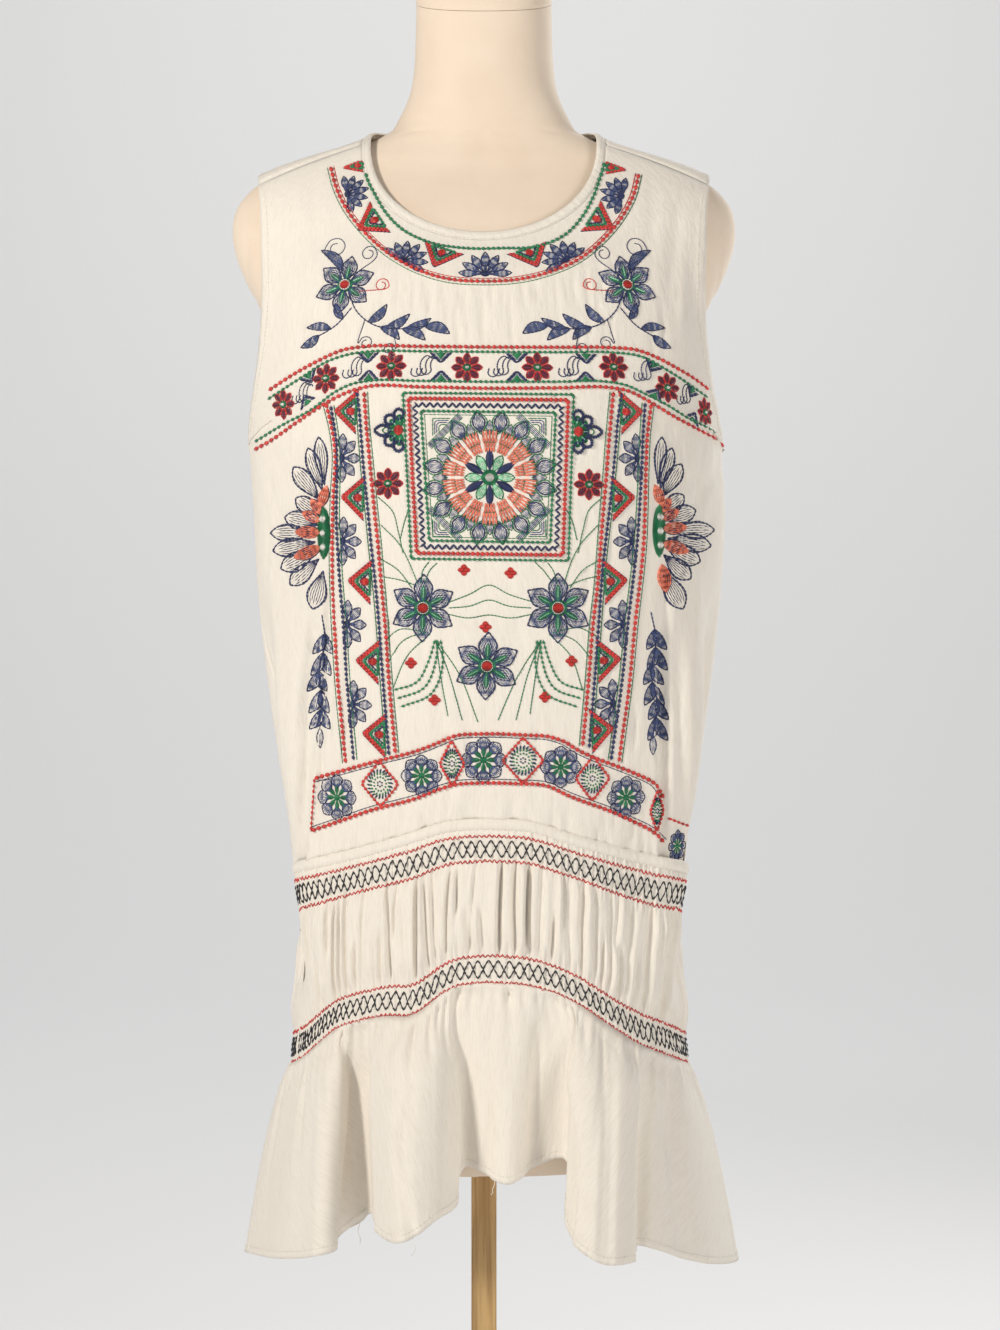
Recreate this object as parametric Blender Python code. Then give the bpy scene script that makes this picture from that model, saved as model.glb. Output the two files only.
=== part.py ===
"""Mini dress on a limbless dress form with a wooden pole and a plain base.

Metres, +Z up. The dress faces -Y. The origin is the centre of the base's underside.
Heights are above the floor. A "turn" is an angle round the body in degrees: 0 at the
front centre, +90 at the wearer's left side (+X), 180 at the back centre.
"""

import math

import bpy
import numpy as np

# Driving sizes
WALL = 0.0012          # thickness of the cloth's wall
SEAM = 0.00018         # each piece stops this far short of a seam line
ROW_GAP = 0.0005       # gap between pieces that are joined edge to edge, up and down
GATHER_GAP = 0.0009    # the same where a gathered edge meets a plain one
RUFFLE_GAP = 0.0014
SQUARENESS = 2.3       # exponent of every rounded section: 2 is an ellipse
CLOTH_EASE = 0.004     # how far the dress stands off the form where it rests on it
POLE_SIDE = 0.020
POLE_BEVEL = 0.0015
FACE_GAP = 0.0003      # gap between solids that rest face to face
BASE_RADIUS = 0.160
BASE_HEIGHT = 0.022
FORM_BOTTOM = 0.585
NECK_TOP = 1.505
NECK_TILT = 0.39       # slope of the cut at the top of the neck, front lower
TILT_FROM = 1.430      # the neck's rings begin to slope here
CAP_HEIGHT = 0.016

# Dress form: height, half width, front depth, back depth
FORM_SECTIONS = [
    (0.585, 0.122, 0.091, 0.103),
    (0.591, 0.128, 0.097, 0.109),
    (0.650, 0.132, 0.102, 0.117),
    (0.720, 0.137, 0.105, 0.122),
    (0.790, 0.139, 0.106, 0.122),
    (0.860, 0.134, 0.104, 0.112),
    (0.930, 0.125, 0.098, 0.098),
    (0.985, 0.120, 0.095, 0.090),
    (1.040, 0.128, 0.104, 0.093),
    (1.100, 0.143, 0.122, 0.100),
    (1.150, 0.153, 0.131, 0.105),
    (1.200, 0.158, 0.124, 0.106),
    (1.240, 0.166, 0.112, 0.104),
    (1.264, 0.181, 0.102, 0.099),
    (1.284, 0.191, 0.094, 0.094),
    (1.305, 0.1985, 0.085, 0.088),
    (1.326, 0.2005, 0.075, 0.081),
    (1.340, 0.1970, 0.067, 0.074),
    (1.350, 0.1900, 0.061, 0.068),
    (1.358, 0.1810, 0.056, 0.064),
    (1.366, 0.1670, 0.052, 0.060),
    (1.375, 0.1410, 0.049, 0.056),
    (1.384, 0.1110, 0.046, 0.053),
    (1.392, 0.0900, 0.045, 0.052),
    (1.400, 0.0760, 0.045, 0.051),
    (1.413, 0.0670, 0.046, 0.050),
    (1.430, 0.0595, 0.047, 0.049),
    (1.455, 0.0555, 0.047, 0.049),
    (1.480, 0.0545, 0.047, 0.049),
    (1.505, 0.0540, 0.047, 0.049),
    (1.540, 0.0540, 0.047, 0.049),
]

# Dress below the shoulders: height, half width, front depth, back depth
DRESS_SECTIONS = [
    (0.600, 0.1570, 0.1200, 0.1310),
    (0.668, 0.1570, 0.1200, 0.1310),
    (0.700, 0.1535, 0.1195, 0.1310),
    (0.740, 0.1490, 0.1190, 0.1310),
    (0.775, 0.1500, 0.1185, 0.1300),
    (0.804, 0.1550, 0.1190, 0.1290),
    (0.852, 0.1605, 0.1200, 0.1275),
    (0.900, 0.1680, 0.1220, 0.1250),
    (0.945, 0.1745, 0.1245, 0.1230),
    (0.988, 0.1800, 0.1275, 0.1210),
    (1.028, 0.1840, 0.1305, 0.1190),
    (1.070, 0.1865, 0.1335, 0.1180),
    (1.110, 0.1878, 0.1360, 0.1175),
    (1.150, 0.1885, 0.1365, 0.1170),
    (1.200, 0.1890, 0.1300, 0.1160),
    (1.245, 0.1905, 0.1180, 0.1120),
    (1.275, 0.1945, 0.1065, 0.1050),
]
RESTS_ABOVE = 1.290    # from here up the dress follows the form

# Front edge of the armhole: height, distance from the centre
ARMHOLE = [
    (1.144, 0.1880),
    (1.151, 0.1875),
    (1.165, 0.1850),
    (1.184, 0.1805),
    (1.223, 0.1742),
    (1.262, 0.1720),
    (1.301, 0.1730),
    (1.340, 0.1752),
    (1.355, 0.1775),
]
# Shoulder seam, forward of the shoulder's ridge: height, distance from the centre
SHOULDER_SEAM = [(1.355, 0.1775), (1.367, 0.1480), (1.377, 0.1215), (1.386, 0.0955), (1.3885, 0.0885)]
RIDGE_X = 0.1805       # where the armhole edge crosses the top of the shoulder

# Bodice rows from the dropped waist up: height at the side, front centre, back centre.
# The last row is the neck binding's free edge.
UNDERARM_ROW = 9
FRONT_ROWS = [
    (0.798, 0.8592),
    (0.834, 0.890),
    (0.870, 0.921),
    (0.908, 0.952),
    (0.947, 0.985),
    (0.987, 1.020),
    (1.027, 1.057),
    (1.066, 1.098),
    (1.105, 1.140),
    (1.144, 1.180),
    (1.151, 1.197),
    (1.172, 1.213),
    (1.203, 1.228),
    (1.240, 1.242),
    (1.280, 1.254),
    (1.313, 1.263),
    (1.337, 1.2695),
    (1.355, 1.276),
    (1.367, 1.2845),
    (1.377, 1.2925),
    (1.386, 1.3005),
    (1.3885, 1.3075),
]
FRONT_TIP = 17
BACK_ROWS = [
    (0.798, 0.845),
    (0.834, 0.876),
    (0.870, 0.908),
    (0.908, 0.940),
    (0.947, 0.974),
    (0.987, 1.010),
    (1.027, 1.047),
    (1.066, 1.084),
    (1.105, 1.121),
    (1.144, 1.158),
    (1.151, 1.174),
    (1.172, 1.192),
    (1.203, 1.214),
    (1.240, 1.238),
    (1.280, 1.262),
    (1.313, 1.284),
    (1.339, 1.300),
    (1.357, 1.311),
    (1.366, 1.320),
    (1.370, 1.328),
    (1.3645, 1.336),
    (1.355, 1.344),
    (1.367, 1.353),
    (1.377, 1.363),
    (1.386, 1.3735),
    (1.3885, 1.3805),
]
# Rows at the armhole's last back point, behind the shoulder, on its ridge and at the seam
BACK_SHOULDER, BACK_BEHIND, BACK_RIDGE, BACK_TIP = 16, 17, 19, 21

# How much of a row's rise is left at a turn from the front centre
ARCH = [(0, 1.0), (8, 0.97), (20, 0.80), (35, 0.63), (50, 0.49), (62, 0.36), (75, 0.16), (90, 0.0)]
TIER_ARCH = [(0, 1.0), (8, 0.975), (15, 0.91), (23, 0.79), (33, 0.58), (42, 0.41), (62, 0.19), (90, 0.0)]

CENTRE_SHIFT = 0.0045  # below the underarm the dress hangs this far to the viewer's right
LEFT_SEAM_TURN = 18    # the left side seam has come this many degrees forward at the hip

# Overlapping folds beside the front: ridge turn, valley turn, strength
SIDE_FOLDS = {-1: (57, 73, 0.85), 1: (57, 73, 1.0)}
FOLD_OUT = 0.010
FOLD_IN = 0.009
FOLD_OVERLAP = 0.008
FOLD_FROM, FOLD_FULL = 1.065, 0.900
FOLD_FADES, FOLD_ENDS = 0.800, 0.700
BACK_WAVES = 5
BACK_WAVE = 0.0035

BINDING_WALL = 0.0016
BINDING_PUFF = 0.0006
CASING_HEIGHT = 0.0052
CASING_PUFF = 0.0014

# Gathered tier, from the casing down to the second shirred band: side, front centre, back centre
TIER_TOP = (0.7923, 0.8535, 0.8393)
TIER_BOTTOM = (0.6600, 0.7390, 0.7250)
TIER_ROWS = [0.0, 0.2, 0.4, 0.6, 0.8, 1.0]
# Share of the tier's height, gather depth, puff
TIER_SHAPE = [
    (0.0, 0.0000, 0.0000),
    (0.2, 0.0011, 0.0000),
    (0.4, 0.0028, 0.0040),
    (0.6, 0.0028, 0.0045),
    (0.8, 0.0011, 0.0005),
    (1.0, 0.0000, 0.0000),
]
TIER_GATHERS = 60      # all round
GATHER_DRIFT = 0.0035  # how unevenly they are spaced, as a share of the half round
# The second band is uneven at the left of its rise: turn, spread, drop
LEFT_WAVES = [(-19, 8, 0.013), (-46, 13, -0.013)]

# Ruffle folds at the hem, from the left side seam to the right: turn of the fold's line
# where the ruffle is sewn on, then the hem's place there
RUFFLE_FOLDS = [
    (-90, -0.1885, 0.000, 0.5055),
    (-68, -0.1560, -0.066, 0.5170),
    (-52, -0.1270, -0.112, 0.5290),
    (-46, -0.1130, -0.108, 0.5350),
    (-42, -0.1060, -0.082, 0.5400),
    (-37, -0.0885, -0.088, 0.5560),
    (-33, -0.0830, -0.126, 0.5580),
    (-23, -0.0600, -0.163, 0.5510),
    (-15, -0.0370, -0.152, 0.5660),
    (-10, -0.0230, -0.124, 0.5720),
    (-6, -0.0130, -0.107, 0.5960),
    (5, 0.0180, -0.129, 0.5870),
    (14, 0.0430, -0.108, 0.5980),
    (20, 0.0640, -0.112, 0.6000),
    (25, 0.0620, -0.147, 0.5600),
    (36, 0.0850, -0.165, 0.5370),
    (46, 0.1120, -0.139, 0.5330),
    (50, 0.1120, -0.108, 0.5360),
    (57, 0.1320, -0.106, 0.5330),
    (72, 0.1720, -0.066, 0.5130),
    (90, 0.2020, 0.000, 0.4990),
]
# Back of the ruffle, hidden: an even run of folds
BACK_FOLDS = 7
BACK_HEM = (0.181, 0.172)   # half width, depth
# Height of the back's hem at a turn from the front centre
BACK_HEM_HEIGHTS = [(90, 0.502), (112, 0.492), (132, 0.487), (150, 0.525), (165, 0.563), (180, 0.575)]
BACK_FOLD_DEPTH = 0.017
RUFFLE_FLARE = 0.6     # exponent: the ruffle spreads most just under its seam
RUFFLE_ROWS = [0.0, 0.07, 0.22, 0.42, 0.62, 0.81, 1.0]
RUFFLE_STEPS = 4       # columns from one fold point to the next

FRONT_TURNS = [0, 8, 16, 24, 32, 39, 45, 50, 54, 58, 62, 66, 70, 74, 79, 84.5, 90]
BACK_TURNS = [0, 8, 16, 24, 32, 40, 48, 56, 64, 72, 79, 85, 90]
FORM_COLUMNS = 44
BASE_COLUMNS = 48


def smooth_columns(rows, step=0.0005):
    """Reads a table's columns against its first one, along smooth curves through its rows."""
    rows = np.array(rows, float)
    place, values = rows[:, 0], rows[:, 1:]
    slopes = np.gradient(values, place, axis=0)
    fine = np.linspace(place[0], place[-1], int(abs(place[-1] - place[0]) / step) + 2)
    after = np.clip(np.searchsorted(place, fine, side="right"), 1, len(place) - 1)
    before = after - 1
    width = (place[after] - place[before])[:, None]
    share = ((fine - place[before]) / width[:, 0])[:, None]
    curve = (
        (2 * share**3 - 3 * share**2 + 1) * values[before]
        + (share**3 - 2 * share**2 + share) * width * slopes[before]
        + (3 * share**2 - 2 * share**3) * values[after]
        + (share**3 - share**2) * width * slopes[after]
    )
    return lambda at: np.stack([np.interp(at, fine, column) for column in curve.T], axis=-1)


def ease(share):
    """0 to 1 with level ends."""
    share = np.clip(share, 0, 1)
    return share * share * (3 - 2 * share)


def rest_lift(height):
    """How far the cloth's sections lie above the form's, where the shoulder slopes."""
    return CLOTH_EASE * float(ease((height - RESTS_ABOVE) / 0.05))


form_section = smooth_columns(FORM_SECTIONS)
dress_section = smooth_columns(
    DRESS_SECTIONS
    + [
        (height + rest_lift(height), *(size + CLOTH_EASE for size in sizes))
        for height, *sizes in FORM_SECTIONS
        if height > RESTS_ABOVE
    ]
)
armhole_x = smooth_columns(ARMHOLE)
arch_share = smooth_columns(ARCH, 0.5)
tier_arch = smooth_columns(TIER_ARCH, 0.5)
seam_place = smooth_columns(SHOULDER_SEAM)
tier_shape = smooth_columns(TIER_SHAPE, 0.005)
back_hem_height = smooth_columns(BACK_HEM_HEIGHTS, 0.5)


def bell(away, width):
    return np.exp(-((away / width) ** 2))


def rounded(turn):
    """Across and forward shares of a rounded section at a turn."""
    angle = np.radians(turn)
    power = 2 / SQUARENESS
    across = np.sign(np.sin(angle)) * np.abs(np.sin(angle)) ** power
    forward = np.sign(np.cos(angle)) * np.abs(np.cos(angle)) ** power
    return across, forward


def centre_shift(height):
    return CENTRE_SHIFT * ease((1.20 - height) / 0.12)


def side_height(turn, side, front, back, arch=arch_share):
    """Height of a row at a turn, from its heights at the side, front centre and back centre."""
    off = np.abs((np.asarray(turn, float) + 180) % 360 - 180)
    centre = np.where(off <= 90, front, back)
    return side + (centre - side) * arch(np.minimum(off, 180 - off))[..., 0]


def ring(turn, height, push=0.0):
    """Outer face of the hanging dress at a turn and a height, with its folds."""
    turn = (np.asarray(turn, float) + 180) % 360 - 180
    across, forward = rounded(turn)
    size = dress_section(height)
    depth = np.where(forward > 0, size[..., 1], size[..., 2])
    x, y = size[..., 0] * across, -depth * forward
    out_x, out_y = x / size[..., 0] ** 2, y / depth**2
    long = np.hypot(out_x, out_y)
    out_x, out_y = out_x / long, out_y / long
    fold = ease((FOLD_FROM - height) / (FOLD_FROM - FOLD_FULL)) * ease(
        (height - FOLD_ENDS) / (FOLD_FADES - FOLD_ENDS)
    )
    out, along = push + 0 * turn, 0 * turn
    for side, (ridge, valley, strength) in SIDE_FOLDS.items():
        deep = fold * strength
        out = out + deep * (FOLD_OUT * bell(side * turn - ridge, 9) - FOLD_IN * bell(side * turn - valley, 7))
        along = along + side * deep * FOLD_OVERLAP * bell(side * turn - ridge - 4, 7)
    behind = ease((np.abs(turn) - 95) / 30)
    out = out + fold * behind * BACK_WAVE * np.cos(np.radians(turn) * 2 * BACK_WAVES)
    x = x + out * out_x - along * out_y + centre_shift(height)
    y = y + out * out_y + along * out_x
    return np.stack([x, y, height + 0 * x], axis=-1)


def seam_turn(side, height):
    """Turn of a side seam: the left one comes forward at the hip."""
    come = LEFT_SEAM_TURN * ease((1.10 - height) / 0.20)
    return -90 + come if side < 0 else 90 + 0 * come


def on_slice(x, height, side):
    """Point of the dress on the front (-1) or back (1) of the section at a height."""
    size = dress_section(height)
    depth = np.where(side < 0, size[..., 1], size[..., 2])
    inside = np.clip(1 - np.abs(x / size[..., 0]) ** SQUARENESS, 0, 1)
    return np.stack([x, side * depth * inside ** (1 / SQUARENESS), height + 0 * x], axis=-1)


def settle(points):
    """Moves points near the dress's surface onto it, away from a line inside the body."""
    upright = ease((points[..., 2] - 1.30) / 0.05)[..., None]
    way = points * (np.array([0.4, 1.0, 0.0]) - upright * np.array([0.4, 0.6, 0.0]))
    way = way + upright * np.array([0.0, 0.0, 0.07])
    inner = points - way
    near, far = np.full(points.shape[:-1], 0.2), np.full(points.shape[:-1], 3.0)
    for _ in range(40):
        middle = (near + far) / 2
        trial = inner + middle[..., None] * way
        size = dress_section(trial[..., 2])
        depth = np.where(trial[..., 1] < 0, size[..., 1], size[..., 2])
        outside = (
            np.abs(trial[..., 0] / size[..., 0]) ** SQUARENESS
            + np.abs(trial[..., 1] / depth) ** SQUARENESS
            > 1
        )
        near, far = np.where(outside, near, middle), np.where(outside, middle, far)
    return inner + near[..., None] * way


def row_value(rows, row, column):
    return np.interp(row, np.arange(len(rows)), [values[column] for values in rows])


def seam_x(height):
    return seam_place(height)[..., 0]


def spread(share, row, tip):
    """Share of a row's half width: closer at the edges, but even along the armhole."""
    even = ease((row - UNDERARM_ROW) / 3) * ease((tip + 3 - row) / 3)
    return (1 - even) * np.sin(np.radians(90 * share)) + even * share


def bowl(across, row, tip):
    """How far a row has come to its centre height: a round curve, and a deep U at the neckline."""
    power = 1 + (1 / SQUARENESS - 1) * np.clip((row - tip) / 3, 0, 1)
    return (1 - across**2) ** power


def front_edge(row):
    """Edge of the front above the underarm, on the +X side."""
    height = row_value(FRONT_ROWS, row, 0)
    x = np.where(row < FRONT_TIP, armhole_x(height)[..., 0], seam_x(height))
    return on_slice(x, height, -1)


def back_edge(row):
    """Edge of the back above the underarm, on the +X side: it passes over the shoulder."""
    height = row_value(BACK_ROWS, row, 0)
    up = on_slice(armhole_x(height)[..., 0], height, 1)
    seam = on_slice(seam_x(height), height, -1)
    last, behind = BACK_ROWS[BACK_SHOULDER][0], BACK_ROWS[BACK_BEHIND][0]
    steps = [
        on_slice(armhole_x(last)[..., 0], last, 1),
        on_slice(np.array(ARMHOLE[-1][1]), behind, 1),
        np.array([RIDGE_X, 0.0, BACK_ROWS[BACK_RIDGE][0]]),
        on_slice(seam_x(BACK_ROWS[BACK_TIP][0]), BACK_ROWS[BACK_TIP][0], -1),
    ]
    places = [BACK_SHOULDER, BACK_BEHIND, BACK_RIDGE, BACK_TIP]
    over = np.stack([np.interp(row, places, [step[axis] for step in steps]) for axis in range(3)], axis=-1)
    over = settle(over)
    row = np.asarray(row)[..., None]
    return np.where(row <= BACK_SHOULDER, up, np.where(row < BACK_TIP, over, seam))


def bodice_front(share, row):
    """Point of the front at a share of its width (-1 to 1) and a row."""
    side_z, centre_z = row_value(FRONT_ROWS, row, 0), row_value(FRONT_ROWS, row, 1)
    turn = share * np.where(share < 0, -seam_turn(-1, side_z), seam_turn(1, side_z))
    low = ring(turn, side_height(turn, side_z, centre_z, side_z))
    edge = front_edge(np.maximum(row, UNDERARM_ROW))
    across = spread(share, row, FRONT_TIP)
    blend = ease((row - UNDERARM_ROW) / 4)
    level = (1 - blend) * arch_share(90 * np.abs(share))[..., 0] + blend * bowl(across, row, FRONT_TIP)
    height = side_z + (centre_z - side_z) * level
    follow = np.clip((FRONT_TIP - row) / (FRONT_TIP - UNDERARM_ROW), 0, 1)
    wider = (dress_section(height)[..., 0] / dress_section(side_z)[..., 0]) ** follow
    high = on_slice(edge[..., 0] * across * wider, height, -1)
    high[..., 0] += centre_shift(height)
    return np.where((row <= UNDERARM_ROW)[..., None], low, high)


def bodice_back(share, row):
    """Point of the back at a share of its width (-1 at the +X side seam, 1 at the other)."""
    side_z, centre_z = row_value(BACK_ROWS, row, 0), row_value(BACK_ROWS, row, 1)
    front_z = row_value(FRONT_ROWS, row, 1)
    start = np.where(share < 0, seam_turn(1, side_z), -seam_turn(-1, side_z))
    turn = 180 + np.sign(share) * np.abs(share) * (180 - start)
    low = ring(turn, side_height(turn, side_z, front_z, centre_z))
    edge = back_edge(np.maximum(row, UNDERARM_ROW))
    across = spread(share, row, BACK_TIP)
    over = ease((row - BACK_SHOULDER) / 2) * ease((BACK_TIP + 3 - row) / 3)
    behind = (1 - across**2) ** (1 / SQUARENESS + (1 - 1 / SQUARENESS) * over)
    centre_y = dress_section(centre_z)[..., 2]
    follow = np.clip((BACK_SHOULDER - row) / (BACK_SHOULDER - UNDERARM_ROW), 0, 1)
    level = (1 - follow) * bowl(across, row, BACK_TIP) + follow * ease(1 - np.abs(share))
    guess = np.stack(
        [
            -edge[..., 0] * across,
            edge[..., 1] + (centre_y - edge[..., 1]) * behind,
            edge[..., 2] + (centre_z - edge[..., 2]) * level,
        ],
        axis=-1,
    )
    high = settle(guess)
    high[..., 0] += centre_shift(high[..., 2])
    return np.where((row <= UNDERARM_ROW)[..., None], low, high)


def tier_level(turn, share):
    """Height at a turn and a share of the tier's drop."""
    top = side_height(turn, *TIER_TOP)
    bottom = side_height(turn, *TIER_BOTTOM, tier_arch)
    for middle, width, drop in LEFT_WAVES:
        bottom = bottom - drop * bell(turn - middle, width)
    return top - GATHER_GAP + (bottom - top) * share


def tier_point(turn, share, ridge):
    """Point of the gathered tier. ridge is 1 on a gather's crest and -1 in its hollow."""
    gather, puff = np.moveaxis(tier_shape(share), -1, 0)
    return ring(turn, tier_level(turn, share), gather * ridge + puff)


def hem_points():
    """Turn, x, y and height of the ruffle's fold points, all the way round from the left seam."""
    points = list(RUFFLE_FOLDS)
    wide, deep = BACK_HEM
    steps = 2 * BACK_FOLDS
    for step in range(1, steps):
        turn = 90 + 180 * step / steps
        across, forward = rounded(turn)
        out = 1 + (BACK_FOLD_DEPTH / deep) * (1 if step % 2 else -1)
        height = float(back_hem_height(min(turn, 360 - turn))[..., 0])
        points.append((turn, CENTRE_SHIFT + wide * across * out, -deep * forward * out, height))
    points.append((270, *RUFFLE_FOLDS[0][1:]))
    return points


HEM = hem_points()
FRONT_FOLD_COUNT = len(RUFFLE_FOLDS) - 1
# Fold points before the left seam and after the right one keep the curve smooth there
wrapped = [(-1, *((HEM[-2][0] - 360,) + HEM[-2][1:]))]
wrapped += [(index, *point) for index, point in enumerate(HEM)]
wrapped += [(len(HEM), *((HEM[1][0] + 360,) + HEM[1][1:]))]
hem_curve = smooth_columns(wrapped, 0.02)


def ruffle_point(fold, share):
    """Point of the ruffle at a fold number (0 at the left seam) and a share of its drop."""
    turn, x, y, z = np.moveaxis(hem_curve(fold), -1, 0)
    seam = ring(turn, tier_level(turn, 1.0) - RUFFLE_GAP)
    hem = np.stack([x, y, z], axis=-1)
    flare = share**RUFFLE_FLARE
    blend = np.stack([flare, flare, share], axis=-1)
    return seam + (hem - seam) * blend


# Building

def clear_scene():
    for old in list(bpy.data.objects):
        bpy.data.objects.remove(old, do_unlink=True)


def material(name, colour, roughness, metallic=0.0):
    made = bpy.data.materials.new(name)
    made.use_nodes = True
    shader = made.node_tree.nodes["Principled BSDF"]
    shader.inputs["Base Color"].default_value = (*colour, 1.0)
    shader.inputs["Roughness"].default_value = roughness
    shader.inputs["Metallic"].default_value = metallic
    return made


def add_mesh(name, points, faces, finish):
    mesh = bpy.data.meshes.new(name)
    mesh.from_pydata([tuple(point) for point in points], [], faces)
    mesh.update()
    mesh.materials.append(finish)
    mesh.shade_smooth()
    mesh.set_sharp_from_angle(angle=math.radians(50))
    body = bpy.data.objects.new(name, mesh)
    bpy.context.scene.collection.objects.link(body)
    return body


def grid_normals(grid, wrap):
    """Outward directions of a grid whose rows go up and whose columns go round to +turn."""
    if wrap:
        along = np.roll(grid, -1, axis=1) - np.roll(grid, 1, axis=1)
    else:
        along = np.gradient(grid, axis=1)
    up = np.gradient(grid, axis=0)
    normals = np.cross(along, up)
    return normals / np.linalg.norm(normals, axis=-1, keepdims=True)


def share_normals(grids, normals):
    """Where grids share a point, its direction is the mean of theirs."""
    total = {}
    for grid, normal in zip(grids, normals):
        for point, way in zip(grid.reshape(-1, 3), normal.reshape(-1, 3)):
            key = tuple(np.round(point, 5))
            total[key] = total.get(key, np.zeros(3)) + way
    shared = []
    for grid in grids:
        ways = np.array([total[tuple(np.round(point, 5))] for point in grid.reshape(-1, 3)])
        ways /= np.linalg.norm(ways, axis=-1, keepdims=True)
        shared.append(ways.reshape(grid.shape))
    return shared


def pull_in(grid):
    """Stops a piece just short of the seam lines at its two sides."""
    pulled = grid.copy()
    for edge, inner in ((0, 1), (-1, -2)):
        way = grid[:, inner] - grid[:, edge]
        pulled[:, edge] += SEAM * way / np.linalg.norm(way, axis=-1, keepdims=True)
    return pulled


def cloth(name, grid, normals, finish, wrap=False, wall=WALL):
    """Closed wall from its outer face, with the inner face a wall's thickness inside."""
    rows, columns = grid.shape[:2]
    points = np.concatenate([grid.reshape(-1, 3), (grid - wall * normals).reshape(-1, 3)])
    inner = rows * columns
    faces = []
    around = columns if wrap else columns - 1
    for row in range(rows - 1):
        for column in range(around):
            beside = (column + 1) % columns
            a, b = row * columns + column, row * columns + beside
            c, d = a + columns, b + columns
            faces.append((a, b, d, c))
            faces.append((inner + a, inner + c, inner + d, inner + b))
    for column in range(around):
        beside = (column + 1) % columns
        top = (rows - 1) * columns
        faces.append((column, inner + column, inner + beside, beside))
        faces.append((top + column, top + beside, inner + top + beside, inner + top + column))
    if not wrap:
        for row in range(rows - 1):
            a, c = row * columns, (row + 1) * columns
            faces.append((a, c, inner + c, inner + a))
            b, d = a + columns - 1, c + columns - 1
            faces.append((b, inner + b, inner + d, d))
    return add_mesh(name, points, faces, finish)


def pair(names, grids, finish):
    """Front and back pieces that meet at the side seams."""
    normals = share_normals(grids, [grid_normals(grid, False) for grid in grids])
    for name, grid, normal in zip(names, grids, normals):
        cloth(name, pull_in(grid), normal, finish)


def both_sides(turns):
    return np.array([-turn for turn in reversed(turns[1:])] + list(turns), float) / 90


def add_bodice(finish):
    front_share, front_row = np.meshgrid(both_sides(FRONT_TURNS), np.arange(len(FRONT_ROWS) - 1))
    back_share, back_row = np.meshgrid(both_sides(BACK_TURNS), np.arange(len(BACK_ROWS) - 1))
    front = bodice_front(front_share, front_row.astype(float))
    back = bodice_back(back_share, back_row.astype(float))
    pair(("bodice_front", "bodice_back"), (front, back), finish)


def add_neck_binding(finish):
    """Narrow closed strip along the neckline, a little fuller than the cloth beside it."""
    puff = np.array([0.0, BINDING_PUFF, 0.0])
    strips = []
    for point_at, top, turns in (
        (bodice_front, len(FRONT_ROWS) - 2, FRONT_TURNS),
        (bodice_back, len(BACK_ROWS) - 2, BACK_TURNS),
    ):
        share, row = np.meshgrid(both_sides(turns), top + np.array([0.06, 0.5, 1.0]))
        strips.append(point_at(share, row)[:, :-1])
    strip = np.concatenate(strips, axis=1)
    normals = grid_normals(strip, True)
    strip = strip + puff[:, None, None] * normals
    cloth("neck_binding", strip, normals, finish, wrap=True, wall=BINDING_WALL)


def turn_grids(rows):
    """Turns of the front and of the back at each row, from one side seam to the other."""
    front_turns, back_turns = [], []
    for height in rows:
        left, right = seam_turn(-1, height), seam_turn(1, height)
        half = np.array(FRONT_TURNS) / 90
        front_turns.append(np.concatenate([left * half[:0:-1], right * half]))
        half = np.array(BACK_TURNS) / 90
        from_right = 180 - (180 - right) * half[::-1]
        to_left = 180 + (180 + left) * half[1:]
        back_turns.append(np.concatenate([from_right, to_left]))
    return np.array(front_turns), np.array(back_turns)


def add_casing(finish):
    side, front, back = FRONT_ROWS[0][0], FRONT_ROWS[0][1], BACK_ROWS[0][1]
    drops = np.array([ROW_GAP + CASING_HEIGHT, ROW_GAP + CASING_HEIGHT / 2, ROW_GAP])
    puffs = np.array([0.0, CASING_PUFF, 0.0])
    grids = []
    for turns in turn_grids([side] * len(drops)):
        height = side_height(turns, side, front, back) - drops[:, None]
        grids.append(ring(turns, height, puffs[:, None]))
    pair(("casing_front", "casing_back"), grids, finish)


def add_tier(finish):
    shares = np.array(TIER_ROWS[::-1])
    sides = TIER_TOP[0] + (TIER_BOTTOM[0] - TIER_TOP[0]) * shares
    grids = []
    for behind in (False, True):
        # Half of the gathers on each side, with a crest and a hollow each
        count = TIER_GATHERS
        step = np.linspace(0, 1, count + 1)
        uneven = step + GATHER_DRIFT * np.sin(step * 2 * math.pi * 9) * (1 if behind else -1)
        turns = []
        for height in sides:
            left, right = seam_turn(-1, height), seam_turn(1, height)
            start, end = (right, 360 + left) if behind else (left, right)
            turns.append(start + (end - start) * uneven)
        turns = np.array(turns)
        ridge = np.where(np.arange(count + 1) % 2, 1.0, -1.0)
        ridge[[0, -1]] = 0
        grids.append(tier_point(turns, shares[:, None] + 0 * turns, ridge[None, :]))
    pair(("tier_front", "tier_back"), grids, finish)


def add_ruffle(finish):
    shares = np.array(RUFFLE_ROWS[::-1])
    grids = []
    for first, last in ((0, FRONT_FOLD_COUNT), (FRONT_FOLD_COUNT, len(HEM) - 1)):
        folds = np.linspace(first, last, (last - first) * RUFFLE_STEPS + 1)
        grids.append(ruffle_point(*np.meshgrid(folds, shares)))
    pair(("ruffle_front", "ruffle_back"), grids, finish)


def stacked_rings(name, rings, finish):
    """Closed solid from rings of points, bottom to top, capped at both ends."""
    count = len(rings[0])
    points = [point for one in rings for point in one]
    faces = [tuple(reversed(range(count)))]
    for level in range(len(rings) - 1):
        for index in range(count):
            beside = (index + 1) % count
            low, high = level * count, (level + 1) * count
            faces.append((low + index, low + beside, high + beside, high + index))
    faces.append(tuple((len(rings) - 1) * count + index for index in range(count)))
    return add_mesh(name, points, faces, finish)


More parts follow.
